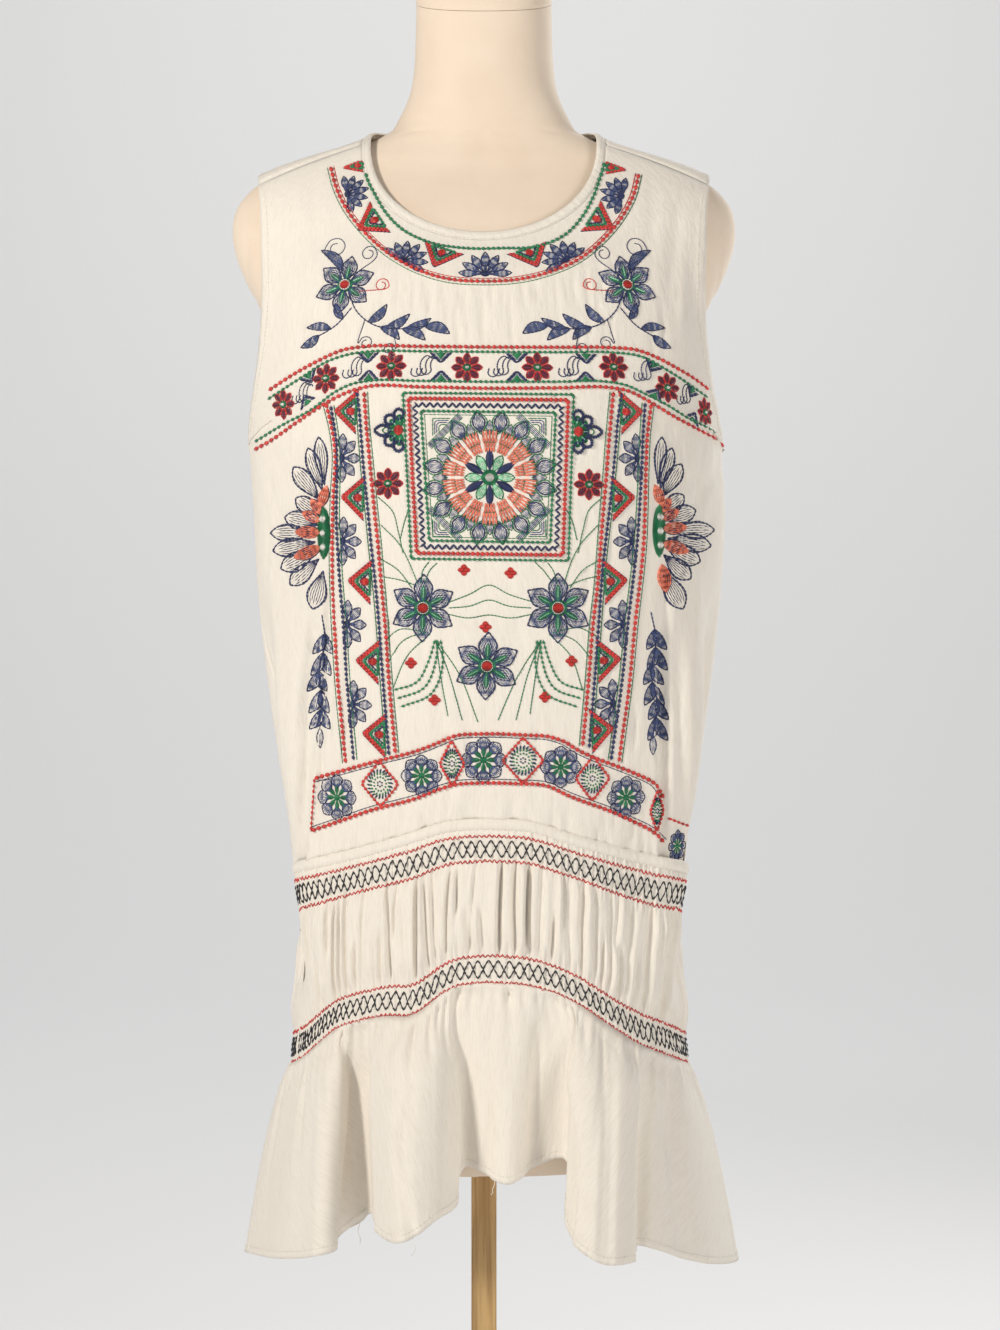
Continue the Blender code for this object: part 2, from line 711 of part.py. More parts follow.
def form_ring(height, top_share=0.0, grow=0.0, lift=0.0):
    """Ring of the form. top_share tilts it towards the cut at the top of the neck."""
    turns = np.arange(FORM_COLUMNS) * 360 / FORM_COLUMNS
    across, forward = rounded(turns)
    wide, front, back = form_section(height)
    x = (wide + grow) * across
    y = -(np.where(forward > 0, front, back) + grow) * forward
    z = height + top_share * NECK_TILT * y + lift
    return np.stack([x, y, z], axis=-1)


def add_form(finish):
    heights = [row[0] for row in FORM_SECTIONS if row[0] <= NECK_TOP]
    rings = [form_ring(height, ease((height - TILT_FROM) / 0.05)) for height in heights]
    stacked_rings("form_body", rings, finish)


def add_neck_cap(finish):
    # How much wider than the neck, how far above the cut
    steps = [(0.0, 0.0004), (0.0006, 0.0034), (0.0, 0.0104), (-0.004, 0.015), (-0.012, CAP_HEIGHT)]
    rings = [form_ring(NECK_TOP, 1.0, grow, lift) for grow, lift in steps]
    stacked_rings("neck_cap", rings, finish)


def add_pole(finish):
    half = POLE_SIDE / 2
    bevel = POLE_BEVEL
    outline = []
    for corner_x, corner_y in ((1, 1), (-1, 1), (-1, -1), (1, -1)):
        first = (corner_x * half, corner_y * (half - bevel))
        second = (corner_x * (half - bevel), corner_y * half)
        outline += [first, second] if corner_x * corner_y > 0 else [second, first]
    rings = [[(x, y, z) for x, y in outline] for z in (BASE_HEIGHT + FACE_GAP, FORM_BOTTOM - FACE_GAP)]
    stacked_rings("pole", rings, finish)


def add_base(finish):
    turns = np.arange(BASE_COLUMNS) * 2 * math.pi / BASE_COLUMNS
    # How far inside the rim, how far above the floor
    steps = [(0.0015, 0.0), (0.0, 0.0015), (0.0, BASE_HEIGHT - 0.005)]
    steps += [(0.0015, BASE_HEIGHT - 0.0015), (0.005, BASE_HEIGHT)]
    rings = []
    for inside, z in steps:
        radius = BASE_RADIUS - inside
        rings.append([(radius * math.cos(turn), radius * math.sin(turn), z) for turn in turns])
    stacked_rings("base", rings, finish)


def main():
    clear_scene()
    cotton = material("white_cotton", (0.90, 0.86, 0.80), 0.85)
    jersey = material("cream_jersey", (0.86, 0.76, 0.62), 0.9)
    pine = material("pine", (0.62, 0.42, 0.20), 0.55)
    add_bodice(cotton)
    add_neck_binding(cotton)
    add_casing(cotton)
    add_tier(cotton)
    add_ruffle(cotton)
    add_form(jersey)
    add_neck_cap(jersey)
    add_pole(pine)
    add_base(pine)


main()
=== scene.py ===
# %% [markdown]
# # A mini dress on a dress form
#
# This lesson dresses a plain CAD model. The frame is a sleeveless cotton dress on a
# limbless form with a pole and a base. Every piece of the dress is cut again here as a
# thin sheet with its folds, gathers and hems, and the embroidery is then sewn onto those
# sheets stitch by stitch.
#
# Lengths are in metres and +Z is up. The dress faces -Y. A *turn* is an angle round the
# body in degrees: 0 at the front centre, +90 at +X, 180 at the back centre.

# %% Load the frame
import math

import bpy
import numpy as np
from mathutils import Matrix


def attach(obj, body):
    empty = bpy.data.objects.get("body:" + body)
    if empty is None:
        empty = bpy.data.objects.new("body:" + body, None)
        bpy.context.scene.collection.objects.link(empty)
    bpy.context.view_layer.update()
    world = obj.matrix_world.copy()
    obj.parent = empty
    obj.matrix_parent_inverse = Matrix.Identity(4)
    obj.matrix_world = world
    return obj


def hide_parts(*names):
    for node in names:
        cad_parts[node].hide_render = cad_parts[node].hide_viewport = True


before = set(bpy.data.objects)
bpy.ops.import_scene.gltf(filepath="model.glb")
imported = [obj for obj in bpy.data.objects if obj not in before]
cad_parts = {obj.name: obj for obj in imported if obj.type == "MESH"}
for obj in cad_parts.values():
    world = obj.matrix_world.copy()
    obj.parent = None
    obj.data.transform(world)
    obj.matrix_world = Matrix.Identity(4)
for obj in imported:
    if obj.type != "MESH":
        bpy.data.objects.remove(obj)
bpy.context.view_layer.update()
print("CAD nodes:", ", ".join(sorted(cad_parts)))

# %% [markdown]
# ## The camera
#
# The photograph was taken straight from the front, about two metres away, a little above
# the hem. A camera could be placed by eye, but one known scale is enough to work it out:
# at two metres one pixel of the 1330 pixel tall picture covers 0.8 mm. The same numbers
# later turn a place in the picture into a place on the cloth.

# %% Camera at the photograph's view
PHOTO_WIDTH, PHOTO_HEIGHT = 1000, 1330
CAMERA_AWAY = 2.0
METRES_PER_PIXEL = 0.0008     # at the plane through the dress's middle
CAMERA_X, CAMERA_Z = 0.0128, 0.976

camera_data = bpy.data.cameras.new("camera")
camera_data.sensor_fit = "VERTICAL"
camera_data.sensor_height = 36
camera_data.lens = 36 * CAMERA_AWAY / (PHOTO_HEIGHT * METRES_PER_PIXEL)
camera = bpy.data.objects.new("camera", camera_data)
camera.location = (CAMERA_X, -CAMERA_AWAY, CAMERA_Z)
camera.rotation_euler = (math.radians(90), 0, 0)
bpy.context.scene.collection.objects.link(camera)
bpy.context.scene.camera = camera


def to_photo(points):
    """Pixel of the photograph at which a point shows."""
    away = CAMERA_AWAY + points[..., 1]
    across = (points[..., 0] - CAMERA_X) * CAMERA_AWAY / away / METRES_PER_PIXEL
    up = (points[..., 2] - CAMERA_Z) * CAMERA_AWAY / away / METRES_PER_PIXEL
    return np.stack([PHOTO_WIDTH / 2 + across, PHOTO_HEIGHT / 2 - up], axis=-1)


print(f"lens {camera_data.lens:.1f} mm")

# %% [markdown]
# ## The studio
#
# White cloth needs light that comes from one side more than from the other, or its folds
# vanish. The key lamp at the left of the camera models them, a wider and weaker one at the
# right opens the shadows, one from behind draws a thin edge, and one lights the backdrop.
# Floor and backdrop are one curved sheet, a little darker than the cotton.

# %% Lamps, world and floor
def add_lamp(name, place, aim, size, power, colour):
    lamp_data = bpy.data.lights.new(name, "AREA")
    lamp_data.shape = "DISK"
    lamp_data.size = size
    lamp_data.energy = power
    lamp_data.color = colour
    lamp = bpy.data.objects.new(name, lamp_data)
    lamp.location = place
    way = np.array(aim) - np.array(place)
    lamp.rotation_euler = (
        math.atan2(math.hypot(way[0], way[1]), -way[2]),
        0,
        math.atan2(way[1], way[0]) - math.pi / 2,
    )
    bpy.context.scene.collection.objects.link(lamp)


add_lamp("key_lamp", (-2.0, -1.9, 2.2), (0, 0, 0.95), 0.5, 62, (1.0, 0.945, 0.86))
add_lamp("fill_lamp", (2.1, -2.0, 1.3), (0, 0, 0.9), 1.4, 30, (1.0, 0.95, 0.87))
add_lamp("backdrop_lamp", (0, 2.9, 4.6), (0, 7.0, 1.3), 2.5, 85, (1.0, 0.99, 0.98))
add_lamp("rim_lamp", (1.3, 1.7, 2.1), (0, 0, 1.0), 0.9, 26, (1.0, 0.98, 0.95))

world = bpy.data.worlds.new("studio_air")
world.use_nodes = True
air = world.node_tree.nodes
air["Background"].inputs["Color"].default_value = (0.90, 0.92, 0.95, 1)
air["Background"].inputs["Strength"].default_value = 0.20
# The camera sees the air paler than it lights, so that views from behind are pale too
seen_air = air.new("ShaderNodeBackground")
seen_air.inputs["Color"].default_value = (0.42, 0.425, 0.43, 1)
air_mix, air_ray = air.new("ShaderNodeMixShader"), air.new("ShaderNodeLightPath")
for start, end in (
    (air_ray.outputs["Is Camera Ray"], air_mix.inputs[0]),
    (air["Background"].outputs[0], air_mix.inputs[1]),
    (seen_air.outputs[0], air_mix.inputs[2]),
    (air_mix.outputs[0], air["World Output"].inputs["Surface"]),
):
    world.node_tree.links.new(start, end)
bpy.context.scene.world = world
bpy.context.scene.view_settings.view_transform = "Standard"

FLOOR_SIZE, BACKDROP_AWAY, BACKDROP_HIGH, COVE_RADIUS = 18.0, 7.0, 7.0, 2.0


def pick_edges(mesh, wanted):
    """Selects only the edges whose two ends are both wanted, and stays in edit mode."""
    bpy.ops.object.mode_set(mode="EDIT")
    bpy.ops.mesh.select_all(action="DESELECT")
    bpy.ops.object.mode_set(mode="OBJECT")
    for edge in mesh.edges:
        edge.select = all(wanted(mesh.vertices[end].co) for end in edge.vertices)
    bpy.ops.object.mode_set(mode="EDIT")
    bpy.ops.mesh.select_mode(type="EDGE")


def add_floor():
    """A pale sheet that runs back along the floor and up behind in a wide cove."""
    bpy.ops.object.select_all(action="DESELECT")
    bpy.ops.mesh.primitive_plane_add(size=FLOOR_SIZE, location=(0, BACKDROP_AWAY - FLOOR_SIZE / 2, 0))
    floor = bpy.context.object
    floor.name = "floor"
    bpy.ops.object.transform_apply(location=True)
    pick_edges(floor.data, lambda end: end.y > 0)
    bpy.ops.mesh.extrude_region_move(TRANSFORM_OT_translate={"value": (0, 0, BACKDROP_HIGH)})
    bpy.ops.object.mode_set(mode="OBJECT")
    pick_edges(floor.data, lambda end: end.y > 0 and end.z < 0.01)
    bpy.ops.mesh.bevel(offset=COVE_RADIUS, segments=24)
    bpy.ops.object.mode_set(mode="OBJECT")
    floor.data.shade_smooth()
    return floor


floor = add_floor()

# %% [markdown]
# ## Small tools
#
# Three helpers serve the whole lesson. `smooth_columns` reads a short table as smooth
# curves, `ease` goes softly from 0 to 1, and `bell` is a soft bump. Most of the shape of
# the cloth is written with these three.

# %% Curves through tables
def smooth_columns(rows, step=0.0005):
    """Reads a table's columns against its first one, along smooth curves through its rows."""
    rows = np.array(rows, float)
    place, values = rows[:, 0], rows[:, 1:]
    slopes = np.gradient(values, place, axis=0)
    fine = np.linspace(place[0], place[-1], int(abs(place[-1] - place[0]) / step) + 2)
    after = np.clip(np.searchsorted(place, fine, side="right"), 1, len(place) - 1)
    before = after - 1
    width = (place[after] - place[before])[:, None]
    share = ((fine - place[before]) / width[:, 0])[:, None]
    curve = (
        (2 * share**3 - 3 * share**2 + 1) * values[before]
        + (share**3 - 2 * share**2 + share) * width * slopes[before]
        + (3 * share**2 - 2 * share**3) * values[after]
        + (share**3 - share**2) * width * slopes[after]
    )
    return lambda at: np.stack([np.interp(at, fine, column) for column in curve.T], axis=-1)


def ease(share):
    """0 to 1 with level ends."""
    share = np.clip(share, 0, 1)
    return share * share * (3 - 2 * share)


def bell(away, width):
    return np.exp(-((away / width) ** 2))


# %% [markdown]
# ## The shape under the cloth
#
# A dress form is a stack of rounded sections, each a little squarer than an ellipse. The
# frame was built from this table, so the same table gives the same shape here. Each row is
# a height, a half width, a front depth and a back depth.

# %% Sections of the form
SQUARENESS = 2.3
FORM_SECTIONS = [
    (0.585, 0.122, 0.091, 0.103), (0.591, 0.128, 0.097, 0.109), (0.650, 0.132, 0.102, 0.117),
    (0.720, 0.137, 0.105, 0.122), (0.790, 0.139, 0.106, 0.122), (0.860, 0.134, 0.104, 0.112),
    (0.930, 0.125, 0.098, 0.098), (0.985, 0.120, 0.095, 0.090), (1.040, 0.128, 0.104, 0.093),
    (1.100, 0.143, 0.122, 0.100), (1.150, 0.153, 0.131, 0.105), (1.200, 0.158, 0.124, 0.106),
    (1.240, 0.166, 0.112, 0.104), (1.264, 0.181, 0.102, 0.099), (1.284, 0.191, 0.094, 0.094),
    (1.305, 0.1985, 0.085, 0.088), (1.326, 0.2005, 0.075, 0.081), (1.340, 0.1970, 0.067, 0.074),
    (1.350, 0.1900, 0.061, 0.068), (1.358, 0.1810, 0.056, 0.064), (1.366, 0.1670, 0.052, 0.060),
    (1.375, 0.1410, 0.049, 0.056), (1.384, 0.1110, 0.046, 0.053), (1.392, 0.0900, 0.045, 0.052),
    (1.400, 0.0760, 0.045, 0.051), (1.413, 0.0670, 0.046, 0.050), (1.430, 0.0595, 0.047, 0.049),
    (1.455, 0.0555, 0.047, 0.049), (1.480, 0.0545, 0.047, 0.049), (1.505, 0.0540, 0.047, 0.049),
    (1.540, 0.0540, 0.047, 0.049),
]
form_section = smooth_columns(FORM_SECTIONS)


def rounded(turn):
    """Across and forward shares of a rounded section at a turn."""
    angle = np.radians(turn)
    power = 2 / SQUARENESS
    across = np.sign(np.sin(angle)) * np.abs(np.sin(angle)) ** power
    forward = np.sign(np.cos(angle)) * np.abs(np.cos(angle)) ** power
    return across, forward


# %% [markdown]
# ## The shape of the hanging dress
#
# From the bust down the dress hangs free of the form, so it has sections of its own. From
# the armholes up it rests on the form, 4 mm outside it. Two deep folds run down beside the
# front, and soft waves cross the back. `ring` puts all of this together: it gives the
# outer face of the dress at any turn and height.

# %% Sections and folds of the dress
DRESS_SECTIONS = [
    (0.600, 0.1570, 0.1200, 0.1310), (0.668, 0.1570, 0.1200, 0.1310), (0.700, 0.1535, 0.1195, 0.1310),
    (0.740, 0.1490, 0.1190, 0.1310), (0.775, 0.1500, 0.1185, 0.1300), (0.804, 0.1550, 0.1190, 0.1290),
    (0.852, 0.1605, 0.1200, 0.1275), (0.900, 0.1680, 0.1220, 0.1250), (0.945, 0.1745, 0.1245, 0.1230),
    (0.988, 0.1800, 0.1275, 0.1210), (1.028, 0.1840, 0.1305, 0.1190), (1.070, 0.1865, 0.1335, 0.1180),
    (1.110, 0.1878, 0.1360, 0.1175), (1.150, 0.1885, 0.1365, 0.1170), (1.200, 0.1890, 0.1300, 0.1160),
    (1.245, 0.1905, 0.1180, 0.1120), (1.275, 0.1945, 0.1065, 0.1050),
]
RESTS_ABOVE = 1.290
CLOTH_EASE = 0.004
CENTRE_SHIFT = 0.0045
LEFT_SEAM_TURN = 18
SIDE_FOLDS = {-1: (57, 73, 0.85), 1: (57, 73, 1.0)}
FOLD_OUT, FOLD_IN, FOLD_OVERLAP = 0.011, 0.012, 0.012
FOLD_FROM, FOLD_FULL = 1.065, 0.900
FOLD_FADES, FOLD_ENDS = 0.800, 0.700
BACK_WAVES, BACK_WAVE = 5, 0.0035
ARCH = [(0, 1.0), (8, 0.97), (20, 0.80), (35, 0.63), (50, 0.49), (62, 0.36), (75, 0.16), (90, 0.0)]
TIER_ARCH = [(0, 1.0), (8, 0.975), (15, 0.91), (23, 0.79), (33, 0.58), (42, 0.41), (62, 0.19), (90, 0.0)]


def rest_lift(height):
    """How far the cloth's sections lie above the form's, where the shoulder slopes."""
    return CLOTH_EASE * float(ease((height - RESTS_ABOVE) / 0.05))


dress_section = smooth_columns(
    DRESS_SECTIONS
    + [
        (height + rest_lift(height), *(size + CLOTH_EASE for size in sizes))
        for height, *sizes in FORM_SECTIONS
        if height > RESTS_ABOVE
    ]
)
arch_share = smooth_columns(ARCH, 0.5)
tier_arch = smooth_columns(TIER_ARCH, 0.5)


def centre_shift(height):
    return CENTRE_SHIFT * ease((1.20 - height) / 0.12)


def side_height(turn, side, front, back, arch=arch_share):
    """Height of a row at a turn, from its heights at the side, front centre and back centre."""
    off = np.abs((np.asarray(turn, float) + 180) % 360 - 180)
    centre = np.where(off <= 90, front, back)
    return side + (centre - side) * arch(np.minimum(off, 180 - off))[..., 0]


def ring(turn, height, push=0.0):
    """Outer face of the hanging dress at a turn and a height, with its folds."""
    turn = (np.asarray(turn, float) + 180) % 360 - 180
    across, forward = rounded(turn)
    size = dress_section(height)
    depth = np.where(forward > 0, size[..., 1], size[..., 2])
    x, y = size[..., 0] * across, -depth * forward
    out_x, out_y = x / size[..., 0] ** 2, y / depth**2
    long = np.hypot(out_x, out_y)
    out_x, out_y = out_x / long, out_y / long
    fold = ease((FOLD_FROM - height) / (FOLD_FROM - FOLD_FULL)) * ease(
        (height - FOLD_ENDS) / (FOLD_FADES - FOLD_ENDS)
    )
    out, along = push + 0 * turn, 0 * turn
    for side, (ridge, valley, strength) in SIDE_FOLDS.items():
        deep = fold * strength
        out = out + deep * (FOLD_OUT * bell(side * turn - ridge, 9) - FOLD_IN * bell(side * turn - valley, 7))
        along = along + side * deep * FOLD_OVERLAP * bell(side * turn - ridge - 4, 7)
    behind = ease((np.abs(turn) - 95) / 30)
    out = out + fold * behind * BACK_WAVE * np.cos(np.radians(turn) * 2 * BACK_WAVES)
    x = x + out * out_x - along * out_y + centre_shift(height)
    y = y + out * out_y + along * out_x
    return np.stack([x, y, height + 0 * x], axis=-1)


def seam_turn(side, height):
    """Turn of a side seam: the left one comes forward at the hip."""
    come = LEFT_SEAM_TURN * ease((1.10 - height) / 0.20)
    return -90 + come if side < 0 else 90 + 0 * come


# %% [markdown]
# ## Front and back panels
#
# A pattern cutter draws the front as one piece from the dropped waist to the shoulder
# seam, with the armhole and the neckline cut out. The tables below give the rows of that
# piece. Up to the underarm a row runs from side seam to side seam, above it from armhole
# to armhole, and the last rows dip to follow the neckline.

# %% Rows of the two panels
# Front edge of the armhole: height, distance from the centre
ARMHOLE = [
    (1.144, 0.1880), (1.151, 0.1875), (1.165, 0.1850), (1.184, 0.1805), (1.223, 0.1742), (1.262, 0.1720),
    (1.301, 0.1730), (1.340, 0.1752), (1.355, 0.1775),
]
# Shoulder seam, forward of the shoulder's ridge: height, distance from the centre
SHOULDER_SEAM = [(1.355, 0.1775), (1.367, 0.1480), (1.377, 0.1215), (1.386, 0.0955), (1.3885, 0.0885)]
RIDGE_X = 0.1805
UNDERARM_ROW = 9
# Height at the side and at the front centre, from the waist seam up
FRONT_ROWS = [
    (0.798, 0.8592), (0.834, 0.890), (0.870, 0.921), (0.908, 0.952), (0.947, 0.985), (0.987, 1.020),
    (1.027, 1.057), (1.066, 1.098), (1.105, 1.140), (1.144, 1.180), (1.151, 1.197), (1.172, 1.213),
    (1.203, 1.228), (1.240, 1.242), (1.280, 1.254), (1.313, 1.263), (1.337, 1.2695), (1.355, 1.276),
    (1.367, 1.2845), (1.377, 1.2925), (1.386, 1.3005), (1.3885, 1.3075),
]
FRONT_TIP = 17
BACK_ROWS = [
    (0.798, 0.845), (0.834, 0.876), (0.870, 0.908), (0.908, 0.940), (0.947, 0.974), (0.987, 1.010),
    (1.027, 1.047), (1.066, 1.084), (1.105, 1.121), (1.144, 1.158), (1.151, 1.174), (1.172, 1.192),
    (1.203, 1.214), (1.240, 1.238), (1.280, 1.262), (1.313, 1.284), (1.339, 1.300), (1.357, 1.311),
    (1.366, 1.320), (1.370, 1.328), (1.3645, 1.336), (1.355, 1.344), (1.367, 1.353), (1.377, 1.363),
    (1.386, 1.3735), (1.3885, 1.3805),
]
BACK_SHOULDER, BACK_BEHIND, BACK_RIDGE, BACK_TIP = 16, 17, 19, 21
FRONT_TOP, BACK_TOP = len(FRONT_ROWS) - 2, len(BACK_ROWS) - 2     # where the binding begins

armhole_x = smooth_columns(ARMHOLE)
seam_place = smooth_columns(SHOULDER_SEAM)
front_rows = smooth_columns([(row, *heights) for row, heights in enumerate(FRONT_ROWS)], 0.02)
back_rows = smooth_columns([(row, *heights) for row, heights in enumerate(BACK_ROWS)], 0.02)


# %% Points of the panels
def on_slice(x, height, side):
    """Point of the dress on the front (-1) or back (1) of the section at a height."""
    size = dress_section(height)
    depth = np.where(side < 0, size[..., 1], size[..., 2])
    inside = np.clip(1 - np.abs(x / size[..., 0]) ** SQUARENESS, 0, 1)
    return np.stack([x, side * depth * inside ** (1 / SQUARENESS), height + 0 * x], axis=-1)


HALVINGS = 36     # how often the way to the surface is cut in half to find it


def settle(points):
    """Moves points near the dress's surface onto it, away from a line inside the body."""
    upright = ease((points[..., 2] - 1.30) / 0.05)[..., None]
    way = points * (np.array([0.4, 1.0, 0.0]) - upright * np.array([0.4, 0.6, 0.0]))
    way = way + upright * np.array([0.0, 0.0, 0.07])
    inner = points - way
    near, far = np.full(points.shape[:-1], 0.2), np.full(points.shape[:-1], 3.0)
    for _ in range(HALVINGS):
        middle = (near + far) / 2
        trial = inner + middle[..., None] * way
        size = dress_section(trial[..., 2])
        depth = np.where(trial[..., 1] < 0, size[..., 1], size[..., 2])
        outside = (
            np.abs(trial[..., 0] / size[..., 0]) ** SQUARENESS
            + np.abs(trial[..., 1] / depth) ** SQUARENESS
            > 1
        )
        near, far = np.where(outside, near, middle), np.where(outside, middle, far)
    return inner + near[..., None] * way


def spread(share, row, tip):
    """Share of a row's half width: closer at the edges, but even along the armhole."""
    even = ease((row - UNDERARM_ROW) / 3) * ease((tip + 3 - row) / 3)
    low = ease((row - UNDERARM_ROW) / 3)
    angle = np.radians(90 * share)
    close = (1 - low) * rounded(90 * share)[0] + low * np.sin(angle)
    return (1 - even) * close + even * share


def bowl(across, row, tip):
    """How far a row has come to its centre height: a round curve, and a deep U at the neckline."""
    power = 1 + (1 / SQUARENESS - 1) * np.clip((row - tip) / 3, 0, 1)
    return np.clip(1 - across**2, 0, 1) ** power


def front_edge(row):
    """Edge of the front above the underarm, on the +X side."""
    height = front_rows(row)[..., 0]
    x = np.where(row < FRONT_TIP, armhole_x(height)[..., 0], seam_place(height)[..., 0])
    return on_slice(x, height, -1)


def back_edge(row):
    """Edge of the back above the underarm, on the +X side: it passes over the shoulder."""
    height = back_rows(row)[..., 0]
    up = on_slice(armhole_x(height)[..., 0], height, 1)
    seam = on_slice(seam_place(height)[..., 0], height, -1)
    last, behind = BACK_ROWS[BACK_SHOULDER][0], BACK_ROWS[BACK_BEHIND][0]
    tip = BACK_ROWS[BACK_TIP][0]
    steps = [
        on_slice(armhole_x(last)[..., 0], last, 1),
        on_slice(np.array(ARMHOLE[-1][1]), behind, 1),
        np.array([RIDGE_X, 0.0, BACK_ROWS[BACK_RIDGE][0]]),
        on_slice(seam_place(tip)[..., 0], tip, -1),
    ]
    places = [BACK_SHOULDER, BACK_BEHIND, BACK_RIDGE, BACK_TIP]
    over = np.stack([np.interp(row, places, [step[axis] for step in steps]) for axis in range(3)], axis=-1)
    over = settle(over)
    row = np.asarray(row)[..., None]
    return np.where(row <= BACK_SHOULDER, up, np.where(row < BACK_TIP, over, seam))


def bodice_front(share, row):
    """Point of the front at a share of its width (-1 to 1) and a row."""
    side_z, centre_z = np.moveaxis(front_rows(row), -1, 0)
    turn = share * np.where(share < 0, -seam_turn(-1, side_z), seam_turn(1, side_z))
    low = ring(turn, side_height(turn, side_z, centre_z, side_z))
    edge = front_edge(np.maximum(row, UNDERARM_ROW))
    across = spread(share, row, FRONT_TIP)
    blend = ease((row - UNDERARM_ROW) / 4)
    level = (1 - blend) * arch_share(90 * np.abs(share))[..., 0] + blend * bowl(across, row, FRONT_TIP)
    height = side_z + (centre_z - side_z) * level
    follow = np.clip((FRONT_TIP - row) / (FRONT_TIP - UNDERARM_ROW), 0, 1)
    wider = (dress_section(height)[..., 0] / dress_section(side_z)[..., 0]) ** follow
    high = on_slice(edge[..., 0] * across * wider, height, -1)
    high[..., 0] += centre_shift(height)
    return np.where((row <= UNDERARM_ROW)[..., None], low, high)


def bodice_back(share, row):
    """Point of the back at a share of its width (-1 at the +X side seam, 1 at the other)."""
    side_z, centre_z = np.moveaxis(back_rows(row), -1, 0)
    front_z = front_rows(np.minimum(row, FRONT_TOP + 1))[..., 1]
    start = np.where(share < 0, seam_turn(1, side_z), -seam_turn(-1, side_z))
    turn = 180 + share * (180 - start)
    low = ring(turn, side_height(turn, side_z, front_z, centre_z))
    edge = back_edge(np.maximum(row, UNDERARM_ROW))
    across = spread(share, row, BACK_TIP)
    over = ease((row - BACK_SHOULDER) / 2) * ease((BACK_TIP + 3 - row) / 3)
    behind = np.clip(1 - across**2, 0, 1) ** (1 / SQUARENESS + (1 - 1 / SQUARENESS) * over)
    centre_y = dress_section(centre_z)[..., 2]
    follow = np.clip((BACK_SHOULDER - row) / (BACK_SHOULDER - UNDERARM_ROW), 0, 1)
    level = (1 - follow) * bowl(across, row, BACK_TIP) + follow * ease(1 - np.abs(share))
    guess = np.stack(
        [
            -edge[..., 0] * across,
            edge[..., 1] + (centre_y - edge[..., 1]) * behind,
            edge[..., 2] + (centre_z - edge[..., 2]) * level,
        ],
        axis=-1,
    )
    high = settle(guess)
    high[..., 0] += centre_shift(high[..., 2])
    return np.where((row <= UNDERARM_ROW)[..., None], low, high)


# %% [markdown]
# ## The gathered tier and the ruffle
#
# Below the waist seam the dress has a gathered tier between two smocked bands, and then a
# ruffle that is longer at the sides than at the front. The second band rises to the front
# centre, and a little unevenly on the left. The ruffle falls in folds that were read off
# the photograph one by one: for each, the turn at which it leaves the seam and the place
# of the hem there.

# %% Rows of the tier and folds of the ruffle
GATHER_GAP, RUFFLE_GAP = 0.0009, 0.0014
TIER_TOP = (0.7923, 0.8535, 0.8393)
TIER_BOTTOM = (0.6600, 0.7390, 0.7250)
LEFT_WAVES = [(-19, 8, 0.013), (-46, 13, -0.013)]
RUFFLE_FOLDS = [
    (-90, -0.1885, 0.000, 0.5055), (-68, -0.1560, -0.066, 0.5170), (-52, -0.1270, -0.112, 0.5290),
    (-46, -0.1130, -0.108, 0.5350), (-42, -0.1060, -0.082, 0.5400), (-37, -0.0885, -0.088, 0.5560),
    (-33, -0.0830, -0.126, 0.5580), (-23, -0.0600, -0.163, 0.5510), (-15, -0.0370, -0.152, 0.5660),
    (-10, -0.0230, -0.124, 0.5720), (-6, -0.0130, -0.107, 0.5960), (5, 0.0180, -0.129, 0.5870),
    (14, 0.0430, -0.108, 0.5980), (20, 0.0640, -0.112, 0.6000), (25, 0.0620, -0.147, 0.5600),
    (36, 0.0850, -0.165, 0.5370), (46, 0.1120, -0.139, 0.5330), (50, 0.1120, -0.108, 0.5360),
    (57, 0.1320, -0.106, 0.5330), (72, 0.1720, -0.066, 0.5130), (90, 0.2020, 0.000, 0.4990),
]
BACK_FOLDS = 7
BACK_HEM = (0.181, 0.172)
BACK_HEM_HEIGHTS = [(90, 0.502), (112, 0.492), (132, 0.487), (150, 0.525), (165, 0.563), (180, 0.575)]
BACK_FOLD_DEPTH = 0.017
RUFFLE_FLARE = 0.6

back_hem_height = smooth_columns(BACK_HEM_HEIGHTS, 0.5)


def tier_level(turn, share):
    """Height at a turn and a share of the tier's drop."""
    top = side_height(turn, *TIER_TOP)
    bottom = side_height(turn, *TIER_BOTTOM, tier_arch)
    for middle, width, drop in LEFT_WAVES:
        bottom = bottom - drop * bell(turn - middle, width)
    return top - GATHER_GAP + (bottom - top) * share


def hem_points():
    """Turn, x, y and height of the ruffle's fold points, all the way round from the left seam."""
    points = list(RUFFLE_FOLDS)
    wide, deep = BACK_HEM
    steps = 2 * BACK_FOLDS
    for step in range(1, steps):
        turn = 90 + 180 * step / steps
        across, forward = rounded(turn)
        out = 1 + (BACK_FOLD_DEPTH / deep) * (1 if step % 2 else -1)
        height = float(back_hem_height(min(turn, 360 - turn))[..., 0])
        points.append((turn, CENTRE_SHIFT + wide * across * out, -deep * forward * out, height))
    points.append((270, *RUFFLE_FOLDS[0][1:]))
    return points


HEM = hem_points()
FRONT_FOLDS = len(RUFFLE_FOLDS) - 1
ALL_FOLDS = len(HEM) - 1
# One more fold at both ends, so that the curve runs on smoothly where it closes
wrapped = [(HEM[-2][0] - 360, *HEM[-2][1:]), *HEM, (HEM[1][0] + 360, *HEM[1][1:])]
hem_curve = smooth_columns([(index - 1, *point) for index, point in enumerate(wrapped)], 0.02)


